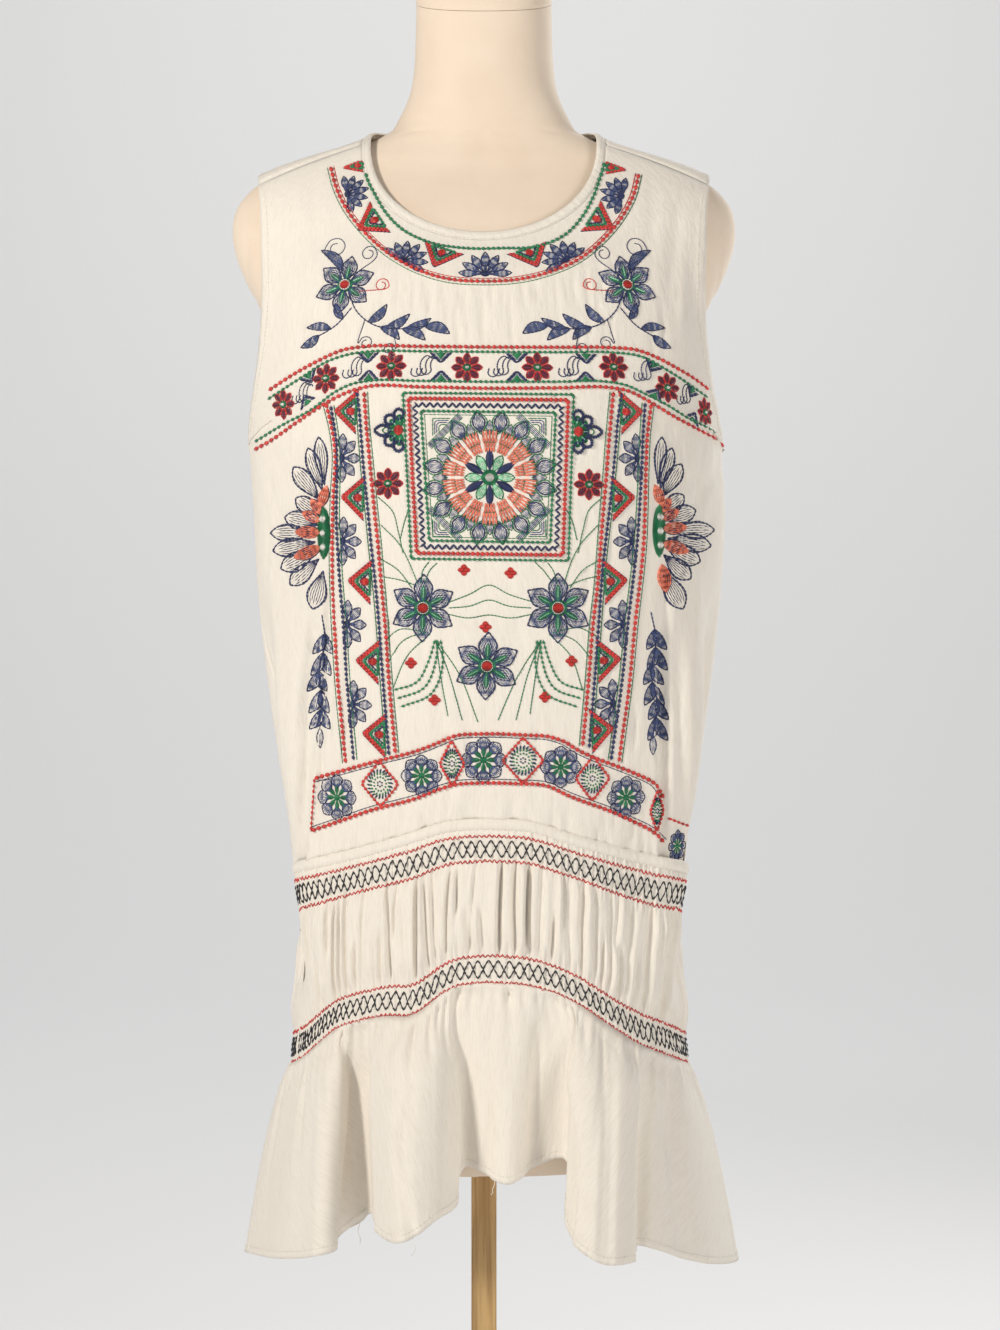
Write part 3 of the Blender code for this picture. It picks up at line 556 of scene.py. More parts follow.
def ruffle_point(fold, share):
    """Point of the ruffle at a fold number (0 at the left seam) and a share of its drop."""
    turn, x, y, z = np.moveaxis(hem_curve(fold), -1, 0)
    seam = ring(turn, tier_level(turn, 1.0) - RUFFLE_GAP)
    hem = np.stack([x, y, z], axis=-1)
    flare = share**RUFFLE_FLARE
    blend = np.stack([flare, flare, share], axis=-1)
    return seam + (hem - seam) * blend


print(f"{FRONT_FOLDS} folds in front, {ALL_FOLDS - FRONT_FOLDS} behind")

# %% [markdown]
# ## Cutting a sheet
#
# Real cotton like this is about a third of a millimetre thick. A sheet here is twice that,
# so that its edges can be seen. It is a grid of points for the outer face and the same grid
# a little further in, joined round the edges.
# Its UV map is the cut piece itself, in metres, so that a weave drawn on it keeps its
# scale and bends with every fold. `Sheet` also remembers the grid: hems, threads and
# stitches are placed on it later.

# %% A sheet of cotton from a grid
CLOTH_THICK = 0.0007


def grid_normals(points, wrap=False):
    """Outward directions of a grid whose rows go up and whose columns go round to +turn."""
    if wrap:
        along = np.roll(points, -1, axis=1) - np.roll(points, 1, axis=1)
    else:
        along = np.gradient(points, axis=1)
    normals = np.cross(along, np.gradient(points, axis=0))
    return normals / np.maximum(np.linalg.norm(normals, axis=-1, keepdims=True), 1e-12)


def flat_places(points):
    """Where each point of the grid lies on the cut piece: along its row and up its column."""
    across = np.linalg.norm(np.diff(points, axis=1), axis=-1)
    across = np.concatenate([np.zeros((len(points), 1)), np.cumsum(across, axis=1)], axis=1)
    across -= across[:, -1:] / 2
    up = np.linalg.norm(np.diff(points, axis=0), axis=-1)
    up = np.concatenate([np.zeros((1, points.shape[1])), np.cumsum(up, axis=0)])
    return across, up


def add_mesh(name, points, faces, finish, places=None):
    """One object from points and faces, smooth, with an optional UV map."""
    mesh = bpy.data.meshes.new(name)
    mesh.from_pydata(points, [], faces)
    mesh.update()
    mesh.shade_smooth()
    if places is not None:
        corner = np.empty(len(mesh.loops), np.int32)
        mesh.loops.foreach_get("vertex_index", corner)
        layer = mesh.uv_layers.new(name="cut")
        layer.data.foreach_set("uv", places[corner].astype(np.float32).ravel())
    mesh.materials.append(finish)
    piece = bpy.data.objects.new(name, mesh)
    bpy.context.scene.collection.objects.link(piece)
    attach(piece, "root")
    return piece


def wall_faces(rows, columns, wrap):
    """Faces of a closed wall: an outer grid, an inner grid and the edges between them."""
    around = columns if wrap else columns - 1
    row, column = np.meshgrid(np.arange(rows - 1), np.arange(around), indexing="ij")
    beside = (column + 1) % columns
    a, b = row * columns + column, row * columns + beside
    c, d = a + columns, b + columns
    inner = rows * columns
    faces = [np.stack([a, b, d, c], -1).reshape(-1, 4)]
    faces.append(inner + np.stack([a, c, d, b], -1).reshape(-1, 4))
    low, next_low = np.arange(around), (np.arange(around) + 1) % columns
    faces.append(np.stack([low, inner + low, inner + next_low, next_low], -1))
    high, next_high = (rows - 1) * columns + low, (rows - 1) * columns + next_low
    faces.append(np.stack([high, next_high, inner + next_high, inner + high], -1))
    if not wrap:
        left = np.arange(rows - 1) * columns
        faces.append(np.stack([left, left + columns, inner + left + columns, inner + left], -1))
        right = left + columns - 1
        faces.append(np.stack([right, inner + right, inner + right + columns, right + columns], -1))
    return np.concatenate(faces)


class Sheet:
    """A sheet's outer face as a grid, with its flat places and its outward directions."""

    def __init__(self, points, wrap=False):
        self.points, self.wrap = points, wrap
        self.normals = grid_normals(points, wrap)
        self.across, self.up = flat_places(points)

    def push(self, amount):
        """Moves the points out by an amount each, and works out the new directions."""
        self.points = self.points + np.asarray(amount)[..., None] * self.normals
        self.normals = grid_normals(self.points, self.wrap)

    def build(self, name, finish, thick=CLOTH_THICK):
        rows, columns = self.points.shape[:2]
        inside = self.points - np.broadcast_to(thick, (rows, columns))[..., None] * self.normals
        points = np.concatenate([self.points.reshape(-1, 3), inside.reshape(-1, 3)])
        places = np.stack([self.across, self.up], axis=-1).reshape(-1, 2)
        faces = wall_faces(rows, columns, self.wrap)
        return add_mesh(name, points, faces, finish, np.concatenate([places, places]))


# %% [markdown]
# ## Cotton
#
# Plain cotton is matt, warm white and never quite even. Two fine waves across the UV map
# are the warp and the weft, a streaky noise gives thicker threads here and there, and a
# larger one gives the soft crush of cloth that has been worn. The sheen is the fuzz of
# short fibres that catches light along every edge.

# %% Cotton material
def make_material(name, colour, rough, sheen=0.0):
    made = bpy.data.materials.new(name)
    made.use_nodes = True
    shader = made.node_tree.nodes["Principled BSDF"]
    shader.inputs["Base Color"].default_value = (*colour, 1)
    shader.inputs["Roughness"].default_value = rough
    shader.inputs["Sheen Weight"].default_value = sheen
    shader.inputs["Specular IOR Level"].default_value = 0.3
    return made, made.node_tree, shader


def add_node(tree, kind, **settings):
    """A node with its settings: a name in lower case is a property, any other an input."""
    node = tree.nodes.new(kind)
    for key, value in settings.items():
        if key[0].islower():
            setattr(node, key, value)
        else:
            node.inputs[key.replace("_", " ")].default_value = value
    return node


def stretched(tree, source, scale):
    """Coordinates for a pattern: the source's, times a scale along each axis."""
    mapping = add_node(tree, "ShaderNodeMapping", Scale=scale)
    tree.links.new(source, mapping.inputs["Vector"])
    return mapping.outputs["Vector"]


def colour_ramp(tree, source, *stops):
    ramp = add_node(tree, "ShaderNodeValToRGB")
    while len(ramp.color_ramp.elements) < len(stops):
        ramp.color_ramp.elements.new(0.5)
    for element, (place, colour) in zip(ramp.color_ramp.elements, stops):
        element.position = place
        element.color = (*colour, 1)
    tree.links.new(source, ramp.inputs["Fac"])
    return ramp.outputs["Color"]


def pattern(tree, kind, place, **settings):
    """Strength of a noise or wave at the places of a set of coordinates."""
    node = add_node(tree, "ShaderNodeTex" + kind, **settings)
    tree.links.new(place, node.inputs["Vector"])
    return node.outputs["Fac"]


def add_bump(tree, height, distance, strength, below=None):
    bump = add_node(tree, "ShaderNodeBump", Strength=strength, Distance=distance)
    tree.links.new(height, bump.inputs["Height"])
    if below is not None:
        tree.links.new(below, bump.inputs["Normal"])
    return bump.outputs["Normal"]


def dress_shader(tree, shader, tint, normal):
    tree.links.new(tint, shader.inputs["Base Color"])
    tree.links.new(normal, shader.inputs["Normal"])


WEAVE_PITCH = 0.00045
WAVE_SCALE = 0.314 / WEAVE_PITCH     # a wave texture's scale, for bands a pitch apart


def make_cotton():
    made, tree, shader = make_material("white_cotton", (0.86, 0.82, 0.76), 0.86, 0.25)
    shader.inputs["Sheen Roughness"].default_value = 0.5
    cut = add_node(tree, "ShaderNodeUVMap", uv_map="cut").outputs["UV"]
    crush = pattern(tree, "Noise", stretched(tree, cut, (150, 60, 1)), Scale=1.0, Detail=4.0, Roughness=0.55)
    normal = add_bump(tree, crush, 0.0016, 0.6)
    for direction in ("X", "Y"):
        wave = pattern(
            tree, "Wave", cut, bands_direction=direction,
            Scale=WAVE_SCALE, Distortion=1.2, Detail=1.0, Detail_Scale=0.6,
        )
        normal = add_bump(tree, wave, 0.00012, 0.28, normal)
    slubs = pattern(tree, "Noise", stretched(tree, cut, (900, 70, 1)), Scale=1.0, Detail=3.0, Roughness=0.6)
    tint = colour_ramp(
        tree, slubs, (0.25, (0.79, 0.73, 0.645)), (0.5, (0.86, 0.805, 0.725)), (0.8, (0.885, 0.835, 0.765)),
    )
    dress_shader(tree, shader, tint, normal)
    return made


cotton = make_cotton()
studio_paper, _, paper_shader = make_material("studio_paper", (0.62, 0.62, 0.62), 0.85)
# A little light of its own keeps the far floor as pale as the floor near the lamps
paper_shader.inputs["Emission Color"].default_value = (1.0, 1.0, 1.0, 1)
paper_shader.inputs["Emission Strength"].default_value = 0.28
floor.data.materials.append(studio_paper)

# %% [markdown]
# ## Folds that a hand would press in
#
# A panel that is only smooth looks like plastic. Sewing pulls small puckers into it, and
# gravity adds long soft folds. A simulation could make folds, but not the ones of this
# dress, so each is a line on the picture: where it starts and ends, how wide and how deep
# it is. `press` pushes the cloth in along the line, softly at its sides and fading at its
# ends, and a negative depth raises a ridge.

# %% Pressing creases into a sheet
def press(places, lines):
    """How far each place is pushed out by lines of x, y, x, y, width and depth in millimetres."""
    amount = np.zeros(places.shape[:-1])
    for x0, y0, x1, y1, width, depth in lines:
        start, way = np.array([x0, y0]), np.array([x1 - x0, y1 - y0])
        long = np.hypot(*way)
        away = places - start
        along = (away @ way) / long**2
        off = (away[..., 0] * way[1] - away[..., 1] * way[0]) / long
        near = (np.abs(off) < 3 * width) & (along > 0) & (along < 1)
        fade = np.sin(math.pi * np.clip(along, 0, 1)) ** 0.7
        amount -= np.where(near, depth / 1000 * bell(off, width) * fade, 0)
    return amount


def valley(places, left, right, depth, soft, top=0.0, fade=1.0):
    """A sunk strip between two edges, each a list of y, x; soft holds the width of both steps."""
    x, y = places[..., 0], places[..., 1]
    left, right = np.array(left, float).T, np.array(right, float).T
    inside = ease((x - np.interp(y, *left)) / soft[0]) * ease((np.interp(y, *right) - x) / soft[1])
    return -depth / 1000 * inside * ease((y - top) / fade)


def edge_band(distance, width, rise):
    """A turned edge: a low step that ends at a shallow groove of stitches."""
    step = ease((width - distance) / 0.0012 + 0.5)
    return rise * step - 0.0004 * bell(distance - width + 0.001, 0.0007)


def ripple(length, pitch, seed):
    """Uneven small waves along an edge, between -1 and 1."""
    rng = np.random.default_rng(seed)
    total = np.zeros_like(length)
    for factor in (0.7, 1.0, 1.45):
        total += np.sin(2 * math.pi * (length / (pitch * factor) + rng.uniform()))
    return total / 3


# %% [markdown]
# ## The front
#
# The front is one panel. Along the armholes its edge is turned in and stitched, at the
# waist it is drawn up a little by the casing, and under the neckline the dense embroidery
# has pulled fine puckers into the cloth. Long soft folds hang at both sides.

# %% Creases of the front
rng = np.random.default_rng(11)
front_creases = [
    # Long folds at the sides
    (331, 560, 311, 870, 4.5, 3.6), (322, 590, 303, 900, 5.5, -3.2), (300, 600, 300, 850, 8, 2.4),
    (285, 480, 292, 700, 9, 2.0), (276, 560, 288, 740, 5, 1.5), (664, 560, 664, 880, 4.5, 3.8),
    (673, 580, 676, 900, 5.5, -3.2), (700, 470, 684, 720, 9, 2.2), (716, 500, 697, 740, 6, 1.9),
    (722, 560, 706, 690, 4, 0.8), (652, 620, 650, 760, 4, 0.7), (345, 640, 340, 780, 4, 0.6),
    # Pull from the chest to the underarms
    (262, 440, 300, 500, 6, 2.0), (265, 470, 290, 560, 5, 1.6), (730, 450, 690, 520, 6, 2.1),
    (722, 480, 700, 570, 5, 1.6), (255, 455, 330, 470, 7, 1.1), (728, 470, 660, 490, 7, 1.2),
    # From the shoulders down
    (290, 190, 300, 330, 8, 1.5), (312, 175, 318, 260, 6, 1.0), (280, 230, 275, 370, 7, 1.3),
    (680, 190, 668, 330, 8, 1.6), (655, 175, 650, 260, 6, 1.0), (690, 240, 700, 370, 7, 1.5),
    # Across the lower front
    (440, 700, 452, 800, 5, 0.8), (455, 705, 462, 830, 4, -0.6), (540, 700, 532, 815, 5, 0.6),
    (470, 790, 474, 850, 5, 1.0), (515, 785, 514, 850, 6, 0.8),
]
# Puckers under the neck band
for x in np.linspace(380, 610, 27):
    x = x + rng.uniform(-3, 3)
    top = 283 - 0.0016 * (x - 487) ** 2
    lean = (x - 487) * 0.06
    foot, width, deep = top + rng.uniform(22, 62), rng.uniform(1.6, 2.8), rng.uniform(0.9, 2.0)
    front_creases.append((x, top, x + lean, foot, width, deep))
# Fine upright puckers among the embroidery
for count, left, right, top, bottom, deep in (
    (34, 290, 690, 300, 345, 0.7), (40, 365, 615, 385, 560, 0.7), (44, 370, 612, 560, 730, 0.75),
    (22, 262, 330, 400, 600, 0.7), (22, 650, 722, 400, 600, 0.7), (20, 300, 350, 620, 800, 0.7),
    (40, 350, 640, 700, 830, 0.8),
):
    for _ in range(count):
        x, y = rng.uniform(left, right), rng.uniform(top, bottom)
        end = (x + rng.uniform(-4, 4), y + rng.uniform(10, 40))
        front_creases.append((x, y - 22, *end, rng.uniform(1.5, 2.6), rng.uniform(0.9, 2.2) * deep))
# Gathers drawn up from the casing
for x in np.linspace(316, 662, 44):
    x = x + rng.uniform(-2.5, 2.5)
    foot = 842 + 42 * ((x - 487) / 178) ** 2
    end = (x + rng.uniform(-3, 3), foot - rng.uniform(14, 52))
    front_creases.append((x, foot + 8, *end, rng.uniform(1.8, 3.4), rng.uniform(1.3, 2.6)))

# %% Cut the front
FRONT_COLUMNS, FRONT_STEPS = 171, 8
ARMHOLE_HEM, HEM_RISE = 0.009, 0.0006


def panel_grid(columns, top, steps):
    """Share and row at every point of a panel."""
    return np.meshgrid(np.linspace(-1, 1, columns), np.linspace(0, top, top * steps + 1))


def panel_edges(sheet, row, tip, seed):
    """The turned hem along a panel's armholes, and the groove of the seams at its other edges."""
    from_side = sheet.across[:, -1:] - np.abs(sheet.across)
    beside_armhole = ease((row - UNDERARM_ROW) / 0.3) * ease((tip - row) / 0.2)
    hem = edge_band(from_side, ARMHOLE_HEM, HEM_RISE)
    hem = hem + 0.00025 * ripple(sheet.up, 0.006, seed) * ease((0.014 - from_side) / 0.006)
    return beside_armhole * hem - (1 - beside_armhole) * 0.0008 * bell(from_side, 0.0016)


# The two deep folds beside the embroidery, by the y and x of their edges in the picture
SIDE_VALLEYS = [
    (
        [(560, 310), (700, 292), (900, 286)],
        [(560, 333), (615, 329), (690, 323), (770, 314), (900, 304)], 5.5, (12, 2.6), 575, 70,
    ),
    (
        [(560, 657), (740, 657), (816, 659), (900, 661)],
        [(560, 684), (740, 694), (900, 698)], 5.5, (2.6, 14), 590, 80,
    ),
]
share, row = panel_grid(FRONT_COLUMNS, FRONT_TOP, FRONT_STEPS)
front = Sheet(bodice_front(share, row))
front_places = to_photo(front.points)
front.push(
    press(front_places, front_creases)
    + sum(valley(front_places, *edges) for edges in SIDE_VALLEYS)
    + panel_edges(front, row, FRONT_TIP, 3)
)
front_piece = front.build("bodice_front_cloth", cotton)
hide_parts("bodice_front")

# %% [markdown]
# ## The back
#
# The photograph doesn't show the back, so it is as plain as such a back would be: one panel
# with turned armhole edges, a few soft folds and gathers at the casing.

# %% Cut the back
BACK_COLUMNS, BACK_STEPS = 111, 5
share, row = panel_grid(BACK_COLUMNS, BACK_TOP, BACK_STEPS)
back = Sheet(bodice_back(share, row))
# Places on the back, in millimetres from its centre and up from the waist
back_places = np.stack([back.across, back.up], axis=-1) * 1000
back_creases = [
    (-120, 470, -100, 300, 9, 1.2), (125, 465, 98, 290, 9, 1.3), (-60, 420, -40, 250, 10, 0.9),
    (70, 400, 46, 230, 9, 0.8), (-20, 380, -8, 180, 10, 0.7), (-140, 330, -90, 250, 7, 1.1),
    (142, 325, 95, 240, 7, 1.1), (-100, 260, -90, 60, 10, 1.4), (96, 250, 88, 50, 10, 1.4),
    (20, 240, 24, 40, 9, 1.0), (-45, 200, -42, 20, 8, 0.9), (60, 180, 58, 10, 7, 0.9),
]
for x in np.linspace(-185, 185, 42):
    x = x + rng.uniform(-3, 3)
    end = (x + rng.uniform(-2, 2), rng.uniform(14, 45))
    back_creases.append((x, -8, *end, rng.uniform(1.7, 3.0), rng.uniform(0.5, 1.1)))
back.push(press(back_places, back_creases) + panel_edges(back, row, BACK_TIP, 4))
back_piece = back.build("bodice_back_cloth", cotton)
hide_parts("bodice_back")

# %% [markdown]
# ## The neck binding
#
# A strip cut on the bias is folded over the raw edge of the neckline. It is rounder than
# the cloth beside it, and because it is eased round a curve it has small puckers all along.

# %% Bind the neck
BINDING_ROUND, BINDING_THICK, BINDING_ROWS = 0.0012, 0.0014, 9
strips = []
for point_at, top in ((bodice_front, FRONT_TOP), (bodice_back, BACK_TOP)):
    share, row = np.meshgrid(np.linspace(-1, 1, 261), top + np.linspace(-0.01, 1, BINDING_ROWS))
    strips.append(point_at(share, row)[:, :-1])
binding = Sheet(np.concatenate(strips, axis=1), wrap=True)
crown = np.sin(np.linspace(0, math.pi, BINDING_ROWS))[:, None]
binding.push(crown * (BINDING_ROUND + 0.00035 * ripple(binding.across, 0.0055, 5)))
binding_piece = binding.build("neck_binding_cloth", cotton, BINDING_THICK)
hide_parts("neck_binding")

# %% [markdown]
# ## The casing
#
# Between bodice and tier runs a narrow flat tunnel of doubled cloth. The gathers on both
# sides of it push it up and down a little.

# %% Sew the casing
ROW_GAP, CASING_HEIGHT = 0.0005, 0.0052
CASING_ROUND, CASING_THICK, CASING_ROWS = 0.0015, 0.001, 11
TUCK_IN, TUCK_UNDER = 0.0022, 0.0012     # how far the casing's edges run on behind its neighbours


def half_turns(height, columns, behind):
    """Turns from side seam to side seam at a height, in front or behind."""
    left, right = seam_turn(-1, height), seam_turn(1, height)
    return np.linspace(right, 360 + left, columns) if behind else np.linspace(left, right, columns)


casing_pieces, casings = [], []
for behind, name in ((False, "casing_front"), (True, "casing_back")):
    turns = half_turns(FRONT_ROWS[0][0], 261, behind)
    level = side_height(turns, FRONT_ROWS[0][0], FRONT_ROWS[0][1], BACK_ROWS[0][1])
    drops = np.linspace(ROW_GAP + CASING_HEIGHT + TUCK_IN, ROW_GAP - TUCK_IN, CASING_ROWS)[:, None]
    casing = Sheet(ring(turns + 0 * drops, level - drops))
    crown = np.sin(np.linspace(0, math.pi, CASING_ROWS))[:, None] ** 0.6
    waves = 0.0004 * ripple(casing.across, 0.006, 6 + behind)
    casing.push(crown * (CASING_ROUND + TUCK_UNDER + waves) - TUCK_UNDER)
    casings.append(casing)
    casing_pieces.append(casing.build(name + "_cloth", cotton, CASING_THICK))
    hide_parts(name)

# %% [markdown]
# ## The smocked and gathered tier
#
# Elastic-like rows of stitches hold the cloth in fine pleats at the top and at the bottom
# of the tier. Between them the pleats open into uneven gathers. Each gather is a narrow
# hollow with its own place, slant, depth and reach: some run from band to band, others
# start at one band and fade away. The wide cloth left between two hollows is the ridge.

# %% Gathers of the tier
BAND_SHARE = 0.235         # how much of the tier each smocked band takes
TIER_PUFF = 0.0045
TUCKED = 0.022             # how far the tier runs on behind the ruffle, as a share of its drop
FINE_PLEAT, FINE_DEEP = 0.0042, 0.0010
FREE_FROM, FREE_TO = 0.16, 0.86     # shares of the drop between which the cloth is free to puff
TIER_GATHERS, GATHER_DEEP = 60, 0.0043


def gathers(across, share, count, seed, deep, half):
    """Hollows between the two bands, at uneven places across a half of the tier."""
    rng = np.random.default_rng(seed)
    amount = np.zeros_like(across)
    for step in range(count):
        middle = (step + 0.5 + rng.uniform(-0.42, 0.42)) / count * 2 * half - half
        slant, bow = rng.uniform(-0.006, 0.006), rng.uniform(-0.003, 0.003)
        kind = rng.uniform()
        start = FREE_FROM if kind < 0.8 else 0.45
        end = FREE_TO if kind > 0.25 else 0.60
        depth, width = deep * rng.uniform(0.45, 1.25), rng.uniform(0.0012, 0.0030)
        reach = ease((share - start) / 0.14) * ease((end - share) / 0.14)
        line = middle + slant * (share - 0.5) + bow * np.sin(share * math.pi)
        amount -= depth * reach * bell(across - line, width)
        amount += 0.3 * depth * reach * bell(across - line - rng.choice([-1, 1]) * 2.2 * width, 1.4 * width)
    return amount


tier_pieces, tiers = [], []
for behind, name, columns, rows in ((False, "tier_front", 461, 39), (True, "tier_back", 301, 33)):
    shares = np.linspace(1 + TUCKED, 0, rows)
    sides = TIER_TOP[0] + (TIER_BOTTOM[0] - TIER_TOP[0]) * shares
    turns = np.array([half_turns(height, columns, behind) for height in sides])
    shares = shares[:, None] + 0 * turns
    tier = Sheet(ring(turns, tier_level(turns, shares)))
    middle = ease((shares - FREE_FROM) / 0.2) * ease((FREE_TO - shares) / 0.2)
    half = tier.across[:, -1].mean()
    in_band = 1 - ease((shares - BAND_SHARE) / 0.06) * ease((1 - BAND_SHARE - shares) / 0.06)
    seam = bell(half - np.abs(tier.across), 0.0015)
    tier.push(
        TIER_PUFF * middle
        + gathers(tier.across, shares, TIER_GATHERS, 21 + behind, GATHER_DEEP, half)
        + FINE_DEEP * in_band * ripple(tier.across, FINE_PLEAT, 23)
        - 0.0008 * seam
        - 0.0011 * ease((shares - 1) / (0.5 * TUCKED))
    )
    tiers.append(tier)
    tier_pieces.append(tier.build(name + "_cloth", cotton))
    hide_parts(name)

# %% [markdown]
# ## The ruffle
#
# The ruffle is gathered onto the second band, so many small gathers start at its seam. A
# hand's width lower they have run together into a few deep folds, whose places come from
# the table above. The hem is turned up twice: it is stiffer, and its stitches pucker it.

# %% Gather and hem the ruffle
HEM_WIDTH, HEM_STEP, RUFFLE_GATHERS = 0.0065, 0.0005, 64


def ruffle_gathers(across, share, count, seed, half):
    """Hollows that start at the seam and fade down the ruffle."""
    rng = np.random.default_rng(seed)
    amount = np.zeros_like(across)
    for step in range(count):
        middle = (step + 0.5 + rng.uniform(-0.4, 0.4)) / count * 2 - 1
        long = rng.choice([0.16, 0.24, 0.36, 0.6, 0.85], p=[0.25, 0.3, 0.25, 0.12, 0.08])
        depth, width = rng.uniform(0.0020, 0.0050), rng.uniform(0.0014, 0.0030) * (1 + long)
        line = middle * half + rng.uniform(-0.006, 0.006) * share
        reach = ease(share / 0.05) * ease((long - share) / long)
        amount -= depth * reach * bell(across - line, width * (1 + 1.5 * share))
    return amount


# Lobes and strips of the front ruffle, by the y and x of their edges in the picture
LEFT_EDGE = [(1030, 353), (1073, 346), (1120, 345.5), (1164, 341), (1262, 335)]
LOBE_LEFT = [(1024, 374), (1075, 372), (1110, 371), (1175, 374), (1262, 379)]
LOBE_RIGHT = [(1010, 449), (1064, 456), (1131, 460), (1207, 455.5), (1262, 455)]
RIGHT_LEFT = [(1010, 574), (1055, 567), (1075, 566), (1120, 572.6), (1153, 578), (1209, 576), (1262, 571)]
RIGHT_EDGE = [(1070, 641), (1153, 634.5), (1262, 634)]
RUFFLE_STRIPS = [
    # The lobes stand forward
    ([(1040, 300), (1262, 250)], LEFT_EDGE, -4.5, (30.0, 3.6), 1036, 45),
    (LOBE_LEFT, LOBE_RIGHT, -4.5, (3.6, 3.6), 1022, 50),
    (RIGHT_LEFT, RIGHT_EDGE, -4.0, (3.6, 3.0), 1040, 60),
    # The strips between them lie back
    (LEFT_EDGE, LOBE_LEFT, 2.6, (3.6, 3.6), 1038, 45),
    (RIGHT_EDGE, [(1070, 690), (1153, 706), (1262, 714)], 3.5, (3.0, 34.0), 1070, 70),
    # Soft folds
    ([(1040, 300), (1262, 292)], [(1040, 325), (1262, 318)], 2.2, (14.0, 9.0), 1040, 60),
    ([(1060, 398), (1145, 392), (1240, 404)], [(1060, 412), (1145, 404), (1240, 420)], 2.4, (7.0, 6.0), 1050, 60),
    ([(1020, 482), (1200, 478)], [(1020, 497), (1200, 492)], 1.8, (7.0, 6.0), 1000, 60),
    ([(1020, 530), (1200, 522)], [(1020, 548), (1200, 536)], 1.8, (8.0, 7.0), 1000, 60),
    ([(1080, 600), (1262, 592)], [(1080, 618), (1262, 612)], 2.4, (8.0, 7.0), 1060, 60),
    ([(1086, 664), (1262, 676)], [(1086, 682), (1262, 700)], 2.4, (8.0, 9.0), 1080, 60),
]


ruffle_pieces, ruffles = [], []
for first, last, name, columns, rows, seed in (
    (0, FRONT_FOLDS, "ruffle_front", 521, 43, 31),
    (FRONT_FOLDS, ALL_FOLDS, "ruffle_back", 281, 37, 32),
):
    fold, share = np.meshgrid(np.linspace(first, last, columns), np.linspace(1, 0, rows))
    ruffle = Sheet(ruffle_point(fold, share))
    half = ruffle.across[:, -1:]
    from_hem = ruffle.up
    from_edge = half - np.abs(ruffle.across)
    ruffle.push(
        ruffle_gathers(ruffle.across, share, RUFFLE_GATHERS, seed, half)
        + sum(valley(to_photo(ruffle.points), *strip) for strip in RUFFLE_STRIPS if first == 0)
        + edge_band(from_hem, HEM_WIDTH, HEM_STEP)
        + 0.0003 * ripple(ruffle.across, 0.0058, seed + 2) * ease((0.012 - from_hem) / 0.008)
        - 0.0006 * bell(from_edge, 0.0015)
    )
    ruffles.append(ruffle)
    ruffle_pieces.append(ruffle.build(name + "_cloth", cotton))
    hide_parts(name)

# %% [markdown]
# ## From the picture to the cloth
#
# Embroidery is drawn flat and then sewn. The flat drawing here is the picture itself: a
# motif is placed by the pixel at which it shows. To find the spot of cloth behind a pixel,
# the front's grid is first scattered over the picture, nearest layer last, and then a few
# small steps along the grid close the distance. A round flower near the side is narrower
# in the picture than on the cloth, so `spot` works out how a millimetre of cloth looks there.

# %% Finding the cloth behind a pixel
FULL = 1.65          # how much a thread spreads once it lies on the cloth
UNIT = 0.00075      # drawings of motifs count in pixels of the front centre, in metres of cloth


def on_grid(sheet, i, j):
    """Point and outward direction of a sheet at a row and column, also between them."""
    rows, columns = sheet.points.shape[:2]
    low_i, low_j = np.clip(i.astype(int), 0, rows - 2), np.clip(j.astype(int), 0, columns - 2)
    u, v = (i - low_i)[..., None], (j - low_j)[..., None]
    return tuple(
        (table[low_i, low_j] * (1 - v) + table[low_i, low_j + 1] * v) * (1 - u)
        + (table[low_i + 1, low_j] * (1 - v) + table[low_i + 1, low_j + 1] * v) * u
        for table in (sheet.points, sheet.normals)
    )


